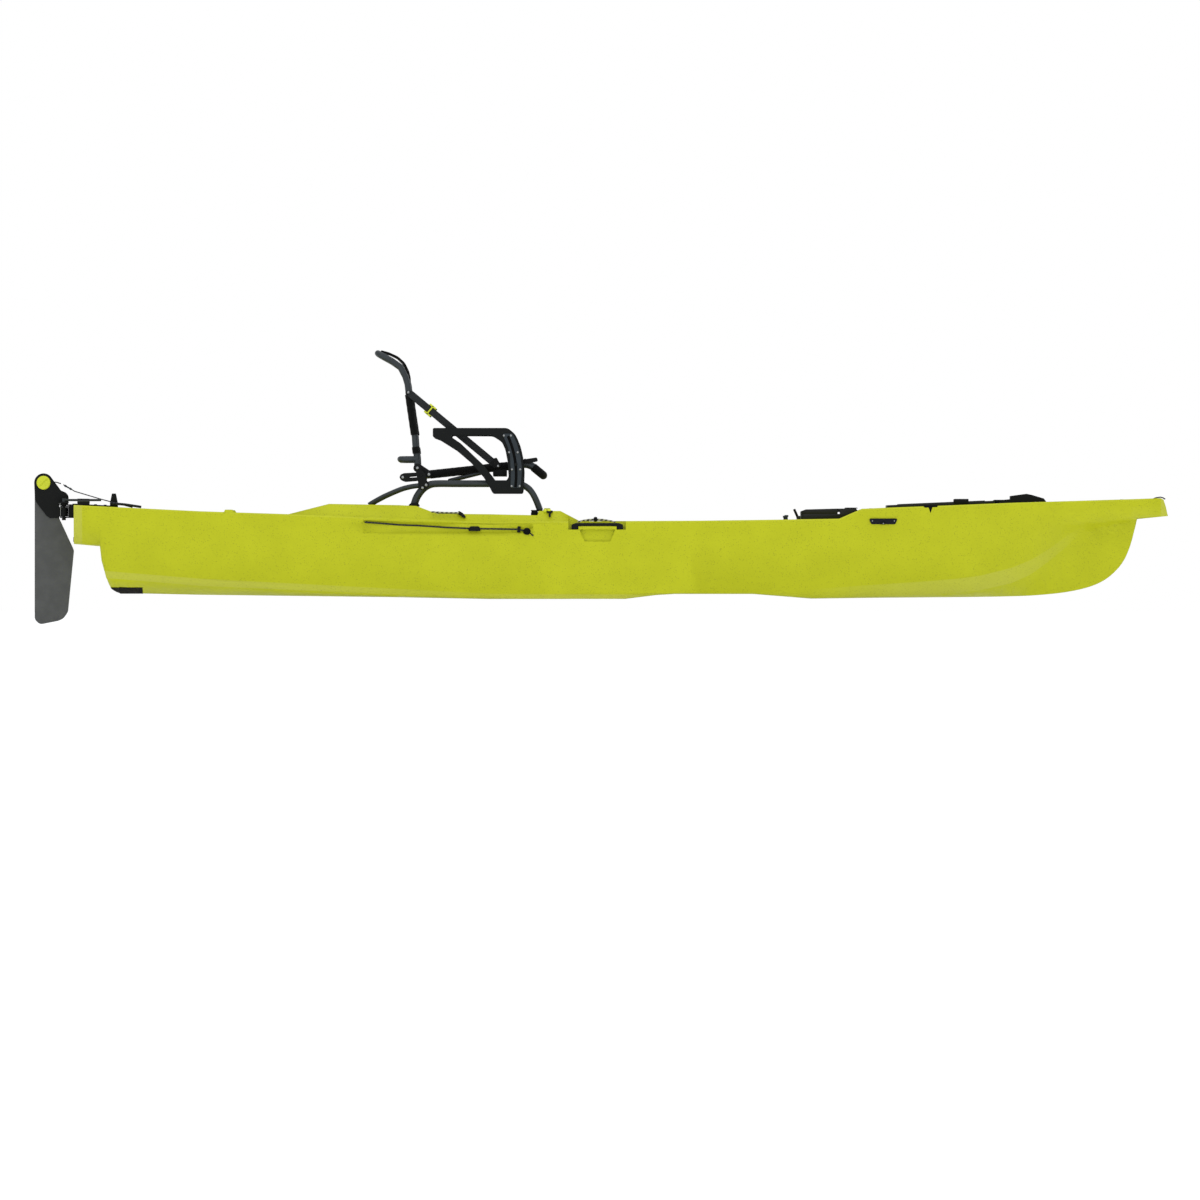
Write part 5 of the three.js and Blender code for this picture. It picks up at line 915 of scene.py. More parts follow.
def seatFrame():
    routes = []
    for _, side in sides:
        y = seatTube["side"] * side
        routes.append((flowing([(x, y, z) for x, z in frameLine]), seatTube["radius"]))
    for x, z in ((seatTube["rearCrossX"], seatTube["crossZ"]), framePath[4]):
        routes.append((alongY(x, -seatTube["side"], seatTube["side"], z), seatTube["cross"]))
    tubePiece = tubes("seat_frame_tubes", routes, greyTube, 24)
    seated(tubePiece, "hull", "grey_tube", "seat_frame")

    def feet(edit):
        rearX, rearZ = framePath[0]
        for _, side in sides:
            y = seatTube["side"] * side
            outline = [(rearX - 0.017, 0.3278), (rearX + 0.017, 0.3271), (rearX + 0.017, rearZ),
                       (rearX + 0.011, rearZ + 0.006), (rearX - 0.009, rearZ + 0.005),
                       (rearX - 0.017, rearZ - 0.001)]
            prism(edit, outline, y - seatFoot["half"], y + seatFoot["half"])
            roundBox(edit, (seatFoot["aft"] - 0.002, y - seatFoot["half"], 0.3097),
                     (seatFoot["fore"], y + seatFoot["half"], 0.3155))
            inner, outer = sorted((0.268 * side, 0.3185 * side))
            roundBox(edit, (seatFoot["knobX"] - 0.013, inner, 0.3097), (seatFoot["fore"], outer, 0.3132))
    footPiece = bevelled(built("seat_feet", feet, blackMoulded), 0.0018)
    seated(footPiece, "hull", "black_plastic")


def kneeKnobs():
    # ribbed knobs that clamp the seat's front feet
    def build(edit):
        for _, side in sides:
            x, y = seatFoot["knobX"], seatFoot["knobY"] * side
            profile = [(0.0, 0.0130), (0.25, 0.0132), (0.55, 0.0128), (0.8, 0.0110), (0.95, 0.0078),
                       (1.0, 0.0035)]
            facets = 28
            turns = [2 * math.pi * k / facets for k in range(facets)]
            rings = []
            for share, radius in profile:
                z = seatFoot["knobFoot"] + share * seatFoot["knobRise"]
                grips = [radius * (1.0 if k % 2 else 0.93) for k in range(facets)]
                rings.append([edit.verts.new((x + grip * math.cos(turn), y + grip * math.sin(turn), z))
                              for grip, turn in zip(grips, turns)])
            joined(edit, rings)
    piece = smoothed(built("seat_clamp_knobs", build, blackRubber), 50)
    seated(piece, "hull", "black_plastic")


seatFrame()
kneeKnobs()

restPlace = {"corner": (-0.3742, 0.3745), "width": 0.317, "height": 0.225, "inner": 0.2963, "outer": 0.322}
restShares = [(0, 0.965), (0, 1), (0.03, 1), (0.822, 1), (0.905, 0.905), (0.955, 0.735), (0.985, 0.55),
              (1, 0.337), (0.995, 0.12), (0.985, 0), (0.951, 0), (0.661, 0), (0.627, 0.097), (0.565, 0.24),
              (0.416, 0.482), (0.257, 0.673), (0.076, 0.833), (0.0, 0.874)]
restBends = [0.004, 0.010, 0.004, 0.030, 0.05, 0.1, 0.1, 0.1, 0.02, 0.014, 0.006, 0.006, 0.03, 0.05, 0.08,
             0.08, 0.05, 0.007]
windowShares = [(0.205, 0.898), (0.655, 0.894), (0.757, 0.802), (0.800, 0.66), (0.824, 0.48), (0.835, 0.24),
                (0.808, 0.185), (0.689, 0.185), (0.644, 0.273), (0.553, 0.433), (0.44, 0.585),
                (0.303, 0.769), (0.2, 0.868)]
windowBends = [0.004, 0.035, 0.04, 0.06, 0.08, 0.016, 0.012, 0.014, 0.03, 0.06, 0.08, 0.05, 0.004]
slotPlateShares = [(0.764, 0.921), (0.877, 0.921), (0.928, 0.769), (0.968, 0.562), (0.984, 0.353),
                   (0.968, 0.072), (0.854, 0.072), (0.86, 0.337), (0.849, 0.562), (0.826, 0.704)]
panPivot = (-0.418, 0.4363)
guideRadius = 0.335


def placed(shares):
    return [(restPlace["corner"][0] + across * restPlace["width"],
             restPlace["corner"][1] + up * restPlace["height"])
            for across, up in shares]


def guideSlot(half, low=-7.5, high=24.0, steps=18):
    angles = [math.radians(low + (high - low) * step / steps) for step in range(steps + 1)]
    outer, inner = [[(panPivot[0] + radius * math.cos(angle),
                      panPivot[1] + radius * math.sin(angle)) for angle in angles]
                    for radius in (guideRadius + half, guideRadius - half)]
    return outer + list(reversed(inner))


hingeOutline = [(-0.4405, 0.4660), (-0.4370, 0.4765), (-0.4260, 0.4765), (-0.4185, 0.4700),
                (-0.4154, 0.4520), (-0.4060, 0.4451), (-0.4003, 0.4357), (-0.4012, 0.4191),
                (-0.3905, 0.4080), (-0.3905, 0.3955), (-0.4000, 0.3850), (-0.4160, 0.3825),
                (-0.4250, 0.3890), (-0.4287, 0.4097), (-0.4287, 0.4180), (-0.4769, 0.4144),
                (-0.4890, 0.4185), (-0.4940, 0.4285), (-0.4890, 0.4385), (-0.4780, 0.4428),
                (-0.4343, 0.4451), (-0.4330, 0.4500)]
barSlot = [(-0.4615, 0.4268), (-0.4615, 0.4318), (-0.4340, 0.4345), (-0.4320, 0.4300), (-0.4340, 0.4285)]
braceLine = [(-0.4272, 0.4002), (-0.4520, 0.3970), (-0.4816, 0.3900), (-0.5060, 0.3810), (-0.5289, 0.3712),
             (-0.5530, 0.3600), (-0.5762, 0.3475), (-0.5900, 0.3393), (-0.6022, 0.3317)]

for name, side in sides:
    rest = cutPlate(f"armrest_{name}_plate", [roundedOutline(placed(restShares), restBends),
                                              roundedOutline(placed(windowShares), windowBends),
                                              guideSlot(0.0061)],
                    restPlace["inner"] * side, restPlace["outer"] * side, armrestPlate, 0.0022, 3)
    seated(rest, "hull", "slate_metal", f"armrest_{name}")
    leaf = cutPlate(f"armrest_slot_plate_{name}_leaf", [roundedOutline(placed(slotPlateShares), 0.006),
                                                        guideSlot(0.0048)],
                    (restPlace["outer"] + 0.0003) * side, (restPlace["outer"] + 0.0033) * side, slatePlate,
                    0.0005)
    seated(leaf, "hull", "black_plastic", f"armrest_slot_plate_{name}")
    lips = cutPlate(f"armrest_slot_lips_{name}", [guideSlot(0.0064)],
                    (restPlace["outer"] - 0.0030) * side, (restPlace["outer"] - 0.0012) * side, blackRubber,
                    0.0002, 1)
    seated(lips, "hull", "black_plastic")
    hinge = cutPlate(f"seat_hinge_plate_{name}_leaf", [roundedOutline(hingeOutline, 0.006),
                                                       roundedOutline(barSlot, 0.0016)],
                     restPlace["inner"] * side, (restPlace["inner"] + 0.004) * side, blackMoulded, 0.0006)
    seated(hinge, "hull", "slate_metal", f"seat_hinge_plate_{name}")
    strut = [Vector((x, (restPlace["inner"] + 0.004 - 0.0075) * side, z)) for x, z in braceLine]
    strutPiece = tubes(f"seat_brace_{name}", [(flowing(strut), 0.0074)], greyTube, 20)
    seated(strutPiece, "hull", "grey_tube")
leverOutline = [(-0.0640, 0.4770), (-0.0640, 0.4905), (-0.0100, 0.4985), (-0.0062, 0.4845),
                (-0.0350, 0.4780)]
lever = cutPlate("seat_tilt_lever_arm", [roundedOutline(leverOutline, 0.0055)], -0.2683, -0.278,
                 blackMoulded, 0.0018, 3)
seated(lever, bodyOf["seat_tilt_lever"], slotOf["seat_tilt_lever"], "seat_tilt_lever")

# Screw heads of the armrests and hinge plates
slotScrews = [(0.782, 0.89), (0.86, 0.89), (0.84, 0.629), (0.935, 0.629), (0.872, 0.361), (0.963, 0.361),
              (0.868, 0.1), (0.957, 0.1)]
plateBolts = [(-0.4822, 0.4282), (-0.4307, 0.461), (-0.39, 0.4385), (-0.4, 0.401), (-0.4127, 0.391)]
slotHeads = onBothSides(placed(slotScrews), restPlace["outer"] + 0.0034)
fasteners("armrest_screws", slotHeads, 0.0041, 0.45, steelBright, "hull", "steel")
boltHeads = onBothSides(plateBolts, 0.3028)
fasteners("hinge_plate_bolts", boltHeads, 0.0052, 0.42, steelBright, "hull", "steel")

# Seat pan: rails, hoop, tilt box and pins
pan = {"railY": 0.2555, "radius": 0.0125, "bend": 0.034, "hoop": 0.006,
       "path": [panPivot, (-0.105, 0.4702), (-0.070, 0.4755), (-0.046, 0.4762), (-0.028, 0.4690),
                (0.0110, 0.4372)],
       "hoopPath": [(-0.206, 0.446), (-0.318, 0.418)]}
guideAngle = math.radians(6.3)
guideAt = (panPivot[0] + guideRadius * math.cos(guideAngle),
           panPivot[1] + guideRadius * math.sin(guideAngle))


def closedTube(edit, path, y, bend, radius, facets=24):
    there = [(x, -y, z) for x, z in path]
    back = [(x, y, z) for x, z in reversed(path)]
    sweep(edit, rounded(there + back, bend), radius, facets)


def seatPan():
    def railTubes(edit):
        closedTube(edit, pan["path"], pan["railY"], pan["bend"], pan["radius"])
        closedTube(edit, pan["hoopPath"], pan["railY"] - 0.001, 0.017, pan["hoop"], 16)
    rails = smoothed(built("seat_pan_tubes", railTubes, greyTube), 40)
    seated(rails, "pan", "grey_tube", "seat_pan_frame")

    def fittings(edit):
        for _, side in sides:
            inner, outer = sorted((0.2665 * side, 0.271 * side))
            outline = [(-0.43, 0.4243), (-0.382, 0.4303), (-0.382, 0.4483), (-0.4187, 0.473),
                       (-0.4427, 0.473)]
            prism(edit, outline, inner, outer)
            for (x, z), out in ((panPivot, 0.3033), (guideAt, 0.330)):
                drum(edit, (x, 0.262 * side, z), (x, out * side, z), 0.0055, 20)
        roundBox(edit, (-0.165, -0.262, 0.433), (-0.117, 0.262, 0.4575))
        drum(edit, (-0.052, -0.262, 0.489), (-0.052, -0.268, 0.489), 0.005)
    body = bevelled(built("seat_pan_fittings", fittings, blackMoulded), 0.0015)
    seated(body, "pan", "black_plastic")

    # black sleeves of the pan's cloth, wrapped round the rails
    def sleeves(edit):
        for _, side in sides:
            y = pan["railY"] * side
            route = [Vector((x, y, panPivot[1] + (x - panPivot[0]) * 0.10831)) for x in np.linspace(-0.389,
                                                                                                    -0.113,
                                                                                                    28)]
            sweep(edit, route, lambda share: 0.0138 + 0.0003 * math.sin(share * 70), 28)
        closedTube(edit, [(-0.0235, 0.4654), (0.0110, 0.4372)], pan["railY"], pan["bend"], 0.0142, 28)
    sleeve = smoothed(built("seat_pan_sleeves", sleeves, edgeCloth), 60)
    seated(sleeve, "pan", "mesh_cloth")


seatPan()
print("seat frame and pan made")


# Cloth: a grid along a route in X and Z, with its own flat measure as the UV map

def clothGrid(name, route, half, thickness, material, across=28, sag=None):
    route = [Vector((x, 0, z)) for x, z in route]
    lengths = [0.0]
    for a, b in zip(route, route[1:]):
        lengths.append(lengths[-1] + (b - a).length)

    def build(edit):
        layer = edit.loops.layers.uv.new("flat")
        rows = []
        for index, point in enumerate(route):
            ahead = route[min(index + 1, len(route) - 1)] - route[max(index - 1, 0)]
            normal = Vector((-ahead.z, 0, ahead.x)).normalized()
            row = []
            for k in range(across + 1):
                share = k / across
                y = (2 * share - 1) * half
                drop = sag(lengths[index] / lengths[-1], share) if sag else 0.0
                row.append(edit.verts.new((point.x + normal.x * drop, y, point.z + normal.z * drop)))
            rows.append(row)
        for index in range(len(rows) - 1):
            for k in range(across):
                face = edit.faces.new((rows[index][k], rows[index][k + 1], rows[index + 1][k + 1],
                                       rows[index + 1][k]))
                corners = ((k, index), (k + 1, index), (k + 1, index + 1), (k, index + 1))
                for loop, (side, along) in zip(face.loops, corners):
                    loop[layer].uv = (side / across * 2 * half, lengths[along])
    edit = bmesh.new()
    build(edit)
    mesh = bpy.data.meshes.new(name)
    edit.to_mesh(mesh)
    edit.free()
    piece = linked(name, mesh, material)
    if thickness:
        wall = piece.modifiers.new("wall", "SOLIDIFY")
        wall.thickness = thickness
        wall.offset = 0.0
        settled(piece)
    for polygon in piece.data.polygons:
        polygon.use_smooth = True
    return piece, lengths[-1]


def eased(points, bend, steps=5):
    return [(p.x, p.z) for p in rounded([(x, 0, z) for x, z in points], bend, steps)]


def evenly(points, count):
    route = [Vector((x, 0, z)) for x, z in points]
    lengths = [0.0]
    for a, b in zip(route, route[1:]):
        lengths.append(lengths[-1] + (b - a).length)
    wanted = np.linspace(0, lengths[-1], count)
    xs = np.interp(wanted, lengths, [p.x for p in route])
    zs = np.interp(wanted, lengths, [p.z for p in route])
    return list(zip(xs.tolist(), zs.tolist()))


# Slings
panSling = {"half": 0.2405, "path": [(-0.396, 0.4370), (-0.105, 0.4685), (-0.058, 0.4765),
                                     (-0.024, 0.4565)], "thick": 0.0022}
panCloth, panLength = clothGrid(
    "seat_pan_cloth", evenly(eased(panSling["path"], 0.02), 40), panSling["half"], panSling["thick"],
    meshCloth, 40,
    lambda along, share: -0.006 * math.sin(math.pi * share) ** 0.8 * math.sin(math.pi * along) ** 0.6)
seated(panCloth, "pan", "mesh_cloth", "seat_pan_sling")

back = {"pivot": (-0.4307, 0.461), "size": 0.404, "y": 0.255, "radius": 0.011, "clothHalf": 0.2405}
backShares = [(0, 0), (-0.005, 0.094), (-0.017, 0.184), (-0.025, 0.295), (-0.038, 0.384), (-0.061, 0.541),
              (-0.078, 0.661), (-0.086, 0.73), (-0.106, 0.797), (-0.15, 0.881), (-0.228, 0.936),
              (-0.345, 1)]
backPath = [(back["pivot"][0] + across * back["size"], back["pivot"][1] + up * back["size"]) for across,
            up in backShares]
clothPath = [backPath[1], backPath[3], backPath[5], (-0.4602, 0.745), (-0.4618, 0.783), (-0.4670, 0.805),
             (-0.4800, 0.832), (-0.5010, 0.851), (-0.5330, 0.8655), (-0.5560, 0.8715)]
backCloth, backLength = clothGrid(
    "seat_back_cloth", evenly(eased(clothPath, 0.02), 64), back["clothHalf"], 0.0022, meshCloth, 40,
    lambda along, share: 0.008 * math.sin(math.pi * share) ** 0.8 * math.sin(math.pi * along) ** 0.6)
seated(backCloth, "back", "mesh_cloth", "seat_back_sling")


def routeAt(path, low, high, y, count=24):
    # part of a path in X and Z between two heights, at one side
    points = [p for p in evenly(eased(path, 0.02), 160) if low <= p[1] <= high]
    step = max(1, len(points) // count)
    return [Vector((x, y, z)) for x, z in points[::step]]


def backrest():
    def frameTubes(edit):
        closedTube(edit, backPath, back["y"], 0.02, back["radius"])
        x, z = back["pivot"][0], back["pivot"][1] + 0.031
        closedTube(edit, [(x, z), (x - 0.06, z)], back["y"], 0.028, back["radius"])
    tubePiece = smoothed(built("seat_back_tubes", frameTubes, greyTube), 40)
    seated(tubePiece, "back", "grey_tube", "seat_back_frame")

    def hems(edit):
        # sewn sleeves that hold the cloth on the tubes, with a collar below
        for _, side in sides:
            y = back["y"] * side
            for low, high, size in ((0.576, 0.724, 0.0138), (0.510, 0.536, 0.0134)):
                route = routeAt(backPath, low, high, y)
                sweep(edit, route, lambda share, size=size: size * (1 + 0.02 * math.sin(share * 34)), 28)
    hemPiece = smoothed(built("seat_back_sleeves", hems, edgeCloth), 60)
    seated(hemPiece, "back", "mesh_cloth")

    def piping(edit):
        edges = evenly(eased(clothPath, 0.02), 70)
        for _, side in sides:
            sweep(edit, [Vector((x, back["clothHalf"] * side, z)) for x, z in edges], 0.0038, 12)
        for x, z in (edges[0], edges[-1]):
            sweep(edit, alongY(x, -back["clothHalf"], back["clothHalf"], z), 0.0040, 12)
    pipingPiece = smoothed(built("seat_back_piping", piping, edgeCloth), 60)
    seated(pipingPiece, "back", "mesh_cloth")

    def fittings(edit):
        for _, side in sides:
            y = back["y"] * side
            x, z = back["pivot"]
            drum(edit, (x, y - 0.0105 * side, z), (x, 0.2655 * side, z), 0.0145, 28)
            drum(edit, (x, 0.25 * side, z), (x, 0.276 * side, z), 0.0055, 20)
            # strap bracket: a clamp round the tube with a tongue towards the strap
            tongue = [(-0.4735, 0.7285), (-0.4665, 0.7345), (-0.4510, 0.7315), (-0.4400, 0.7255),
                      (-0.4330, 0.7170), (-0.4345, 0.7080), (-0.4450, 0.7015), (-0.4560, 0.7035),
                      (-0.4640, 0.7150), (-0.4725, 0.7205)]
            near, far = sorted(((back["y"] - 0.0125) * side, 0.2676 * side))
            prism(edit, tongue, near, far)
    fitPiece = bevelled(built("seat_back_fittings", fittings, blackMoulded), 0.0016)
    seated(fitPiece, "back", "black_plastic")
    heads = onBothSides([(-0.4627, 0.7275)], 0.2676) + onBothSides([back["pivot"]], 0.2763)
    fasteners("seat_back_screws", heads, 0.0050, 0.45, steelBright, "back", "steel")


backrest()

# Recline straps: webbing with stitched ends, buckle frames and anchors
strap = {"top": (-0.4615, 0.7275), "bottom": (-0.150, 0.469), "inner": 0.2683, "thick": 0.002,
         "width": 0.025}
strapRun = Vector((strap["bottom"][0] - strap["top"][0], 0, strap["bottom"][1] - strap["top"][1]))
strapWay = strapRun.normalized()
strapAcross = Vector((-strapWay.z, 0, strapWay.x))


def strapPoint(along, across, y):
    return Vector((strap["top"][0], 0,
                   strap["top"][1])) + strapWay * along + strapAcross * across + Vector((0, y, 0))


def strapSolid(edit, fromAlong, toAlong, near, far, half, steps=30, layer=None):
    places = [fromAlong + (toAlong - fromAlong) * step / steps for step in range(steps + 1)]
    corners = ((-half, near), (half, near), (half, far), (-half, far))
    rings = [[edit.verts.new(strapPoint(along, across, y)) for across, y in corners] for along in places]

    def paint(face, index, k):
        beside = (k + 1) % 4
        shares = (0.0, 2 * half, 2 * half, 0.0)
        for loop, (corner, row) in zip(face.loops, ((k, index), (beside, index), (beside, index + 1),
                                                    (k, index + 1))):
            loop[layer].uv = (shares[corner], places[row])
    joined(edit, rings, paint if layer else None)


def reclineStraps():
    length = strapRun.length
    for name, side in sides:
        y = [strap["inner"] * side, (strap["inner"] + strap["thick"]) * side]

        def web(edit):
            layer = edit.loops.layers.uv.new("flat")
            strapSolid(edit, 0.004, length - 0.002, y[0], y[1], strap["width"] / 2, 40, layer)
            # the doubled tail above and below the buckle, laid on the outside
            tail = [y[1] + 0.0001 * side, y[1] + 0.0014 * side]
            strapSolid(edit, 0.010, 0.074, tail[0], tail[1], strap["width"] / 2 - 0.0006, 10, layer)
        piece = built(f"recline_strap_{name}_web", web, strapWebbing)
        smoothed(piece, 30)
        seated(piece, "pan", "webbing", f"recline_strap_{name}")

        def buckle(edit):
            # an oblong frame with a middle bar, the strap drawn through it
            middle, halfLong, halfWide, bar = 0.0975, 0.0135, 0.0190, 0.0042
            near, far = y[1] + 0.0002 * side, y[1] + 0.0042 * side
            under = y[0] - 0.0002 * side
            for fromAlong, toAlong in ((middle - halfLong, middle - halfLong + bar),
                                       (middle + halfLong - bar, middle + halfLong)):
                strapSolid(edit, fromAlong, toAlong, y[0] - 0.0018 * side, under, halfWide, 1)
            strapSolid(edit, middle - 0.0026, middle + 0.0026, near, far, halfWide, 1)
            for edge in (-1, 1):
                outer = halfWide * edge
                inner = (strap["width"] / 2 + 0.0008) * edge
                corners = []
                for along in (middle - halfLong, middle + halfLong):
                    for across, depth in ((inner, y[0] - 0.0018 * side), (outer, y[0] - 0.0018 * side),
                                          (outer, far), (inner, far)):
                        corners.append(edit.verts.new(strapPoint(along, across, depth)))
                joined(edit, [corners[:4], corners[4:]])
        frameWork = built(f"strap_buckle_{name}_frame", buckle, limeMoulded)
        bevelled(frameWork, 0.0007, 2)
        seated(frameWork, "pan", "lime_trim", f"strap_buckle_{name}")

        def anchor(edit):
            outline = [(-0.1745, 0.4790), (-0.1600, 0.4960), (-0.1520, 0.4975), (-0.1460, 0.4860),
                       (-0.1365, 0.4740), (-0.1380, 0.4640), (-0.1480, 0.4600), (-0.1600, 0.4640)]
            near, far = sorted((y[1] + 0.0003 * side, y[1] + 0.0040 * side))
            prism(edit, outline, near, far)
        seated(bevelled(built(f"strap_anchor_{name}", anchor, blackMoulded), 0.0011),
               "pan", "black_plastic")
    fasteners("strap_anchor_screws", onBothSides([(-0.147, 0.468)], strap["inner"] + 0.0064), 0.0048, 0.45,
              steelBright, "pan", "steel")


reclineStraps()
print("seat cloth and straps made")

# Rudder and steering
bracket = dressed("rudder_bracket", blackMoulded, 0.0012)
for vertex in bracket.data.vertices:
    if -1.634 < vertex.co.x < -1.589 and vertex.co.z > 0.3505:
        vertex.co.z -= 0.0050
rodSleeves = [([Vector((-1.6325, 0.040 * side, 0.3458)), Vector((-1.5900, 0.040 * side, 0.3452))],
               0.0088) for _, side in sides]
sleevePiece = bevelled(tubes("steering_rod_sleeves", rodSleeves, greyTube, 24), 0.0012, 2)
seated(sleevePiece, "hull", "grey_tube")
rudder = {"pivot": (-1.7523, 0.4105), "housing": 0.033, "bladeHead": 0.030, "cheek": (0.0053, 0.011),
          "pinX": -1.6806,
          "yoke": ((-1.697, -0.048, 0.338), (-1.664, 0.048, 0.343))}


def aboutPivot(radius, first, last, steps):
    turns = [math.radians(first + (last - first) * step / steps) for step in range(steps + 1)]
    return [(rudder["pivot"][0] + radius * math.cos(turn),
             rudder["pivot"][1] + radius * math.sin(turn)) for turn in turns]


def rudderHead():
    # two cheeks beside the blade, on a barrel and a yoke
    fore = [(-1.730, 0.286), (-1.6966, 0.286), (-1.6966, 0.2908), (-1.6756, 0.2908), (-1.6756, 0.325),
            (-1.6966, 0.325), (-1.6966, 0.338), (-1.664, 0.338), (-1.664, 0.358), (-1.666, 0.367),
            (-1.674, 0.376), (-1.691, 0.383)]
    bends = [0.004, 0.0015, 0.0008, 0.0015, 0.0015, 0.0008, 0.001, 0.002, 0.008, 0.02, 0.02, 0.012]
    crown = aboutPivot(rudder["housing"], 30, 182, 24)
    aft = [(-1.783, 0.354), (-1.777, 0.340), (-1.741, 0.293)]
    outline = roundedOutline(fore + crown + aft, bends + [0.02] * len(crown) + [0.03, 0.03, 0.01])
    for index, (name, side) in enumerate(sides):
        near, far = (size * side for size in rudder["cheek"])
        cheek = cutPlate(f"rudder_cheek_{name}", [outline], near, far, blackMoulded, 0.0014, 3)
        seated(cheek, bodyOf["rudder_head"], slotOf["rudder_head"], *([] if index else ["rudder_head"]))

    def post(edit):
        drum(edit, (rudder["pinX"], 0, 0.2912), (rudder["pinX"], 0, 0.3248), 0.0155, 32)
        drum(edit, (rudder["pinX"], 0, 0.3304), (rudder["pinX"], 0, 0.3384), 0.0155, 32)
        roundBox(edit, *rudder["yoke"])
    body = bevelled(built("rudder_yoke", post, blackMoulded), 0.0012)
    seated(body, bodyOf["rudder_head"], slotOf["rudder_head"])
    stays = [((-1.692, 0.0135 * side, 0.338), (-1.692, 0.0135 * side, 0.294)) for _, side in sides]
    stay = tubes("rudder_stays", [([Vector(top), Vector(foot)], 0.0014) for top, foot in stays],
                 steelBright, 12)
    seated(stay, bodyOf["rudder_head"], "steel")
    shackle = [(-1.7160, -0.0118, 0.4128), (-1.7060, -0.0140, 0.4118), (-1.6980, -0.0155, 0.4093),
               (-1.6905, -0.0160, 0.4070)]
    hook = tubes("rudder_lift_shackle", [(flowing(shackle), 0.0019)], blackMoulded, 12)
    seated(hook, bodyOf["rudder_head"], "black_plastic")


def rudderBlade():
    outline = [(-1.7837, 0.380), (-1.7837, -0.072), (-1.766, -0.090), (-1.700, -0.077), (-1.682, -0.0685),
               (-1.666, -0.046), (-1.645, 0.170), (-1.649, 0.181), (-1.698, 0.287), (-1.712, 0.345)]
    bends = [0.02, 0.022, 0.022, 0.03, 0.03, 0.03, 0.012, 0.012, 0.03, 0.02]
    head = aboutPivot(rudder["bladeHead"], 20, 160, 20)
    piece = cutPlate("rudder_blade_plate", [roundedOutline(outline + head, bends + [0.02] * len(head))],
                     -0.005, 0.005,
                     bladeMoulded, 0.0024, 4)
    seated(piece, bodyOf["rudder_blade"], slotOf["rudder_blade"], "rudder_blade")


rudderHead()
rudderBlade()
cap = dressed("rudder_pivot_cap", limeMoulded, 0.0010)
for vertex in cap.data.vertices:
    vertex.co.x = 2 * rudder["pivot"][0] - vertex.co.x
cap.data.flip_normals()
dressed("rudder_park_block", blackMoulded, 0.0016, 3)
for name, _ in sides:
    dressed(f"steering_rod_{name}", greyTube, 0.0)
dressed("steering_handle", blackMoulded, 0.0018, 3)
print("rudder dressed")

# Drive
dressed("drive_mount", slatePlate, 0.0012)
dressed("drive_head", slatePlate, 0.0022, 3)
dressed("drive_leg", bladeMoulded, 0.0016)
dressed("propeller", blackMoulded, 0.0010)
dressed("drive_crank", blackTube, 0.0012)
for name, _ in sides:
    dressed(f"pedal_{name}", blackMoulded, 0.0020, 3)
print("drive dressed")


# Cords

def declared(route):
    length = sum((b - a).length for a, b in zip(route, route[1:]))


sideCord = {"slider": (-0.229, 0.247), "ball": (-0.0450, 0.2375), "clear": 0.0033, "radius": 0.0029}


def sideCords():
    for name, side in sides:
        points = [(-0.614, 0.2700), (-0.560, 0.2660), (-0.494, 0.2605), (-0.42, 0.2575), (-0.33, 0.2515),
                  (-0.229, 0.247), (-0.15, 0.246), (-0.0764, 0.2448), (-0.0520, 0.2400)]
        route = [Vector((x, (sideAt(x, z, side) + sideCord["clear"]) * side, z)) for x, z in points]
        smooth = rounded(route, 0.05, 4)
        cordPiece = built(f"side_cord_{name}_line", lambda edit: sweep(edit, smooth, sideCord["radius"],
                                                                       12), blackCord)
        smoothed(cordPiece, 60)
        seated(cordPiece, "hull", "cord_black", f"side_cord_{name}")

        def slider(edit):
            x, z = sideCord["slider"]
            y = (sideAt(x, z, side) + sideCord["clear"]) * side
            inner, outer = sorted((y - 0.0024 * side, y + 0.0048 * side))
            outline = [(x - 0.0215, z - 0.0045), (x - 0.019, z - 0.0085), (x + 0.019, z - 0.0085),
                       (x + 0.0215, z - 0.0045), (x + 0.0185, z + 0.0045), (x + 0.0125, z + 0.0085),
                       (x - 0.0125, z + 0.0085), (x - 0.0185, z + 0.0045)]
            prism(edit, outline, inner, outer)
        shuttle = bevelled(built(f"side_cord_{name}_slider", slider, blackMoulded), 0.0012)
        seated(shuttle, "hull", "black_plastic")

        def toggle(edit):
            # ball at the cord's end, with its knotted tail
            x, z = sideCord["ball"]
            y = (sideAt(x, z, side) + 0.0070) * side
            for vertex in bmesh.ops.create_uvsphere(edit, u_segments=24, v_segments=16,
                                                    radius=0.0125)["verts"]:
                vertex.co = Vector((vertex.co.x * 1.08 + x, vertex.co.y * 0.62 + y, vertex.co.z + z))
        tail = [(-0.0420, 0.2375), (-0.0340, 0.2320), (-0.0275, 0.2262), (-0.0225, 0.2215)]
        tailRoute = flowing([(x, (sideAt(x, z, side) + 0.0026) * side, z) for x, z in tail])
        seated(tubes(f"side_cord_{name}_tail", [(tailRoute, 0.0022)], blackCord, 12), "hull", "cord_black")
        ball = smoothed(built(f"side_cord_{name}_ball", toggle, blackRubber), 60)
        seated(ball, "hull", "black_plastic")
        declared(smooth)


def hookCords():
    for name, side in sides:
        points = [(-0.3810, 0.400 * side, 0.3062), (-0.3600, 0.401 * side, 0.3050),
                  (-0.3300, 0.403 * side, 0.3036), (-0.2840, 0.4075 * side, 0.3030)]
        route = flowing(points)
        cord = smoothed(tubes(f"deck_hook_cord_{name}", [(route, 0.0026)], bungeeCord, 12), 60)
        seated(cord, "hull", "cord_black")
        declared(route)


bead = {"x": 0.196, "y": 0.443, "z": 0.280}


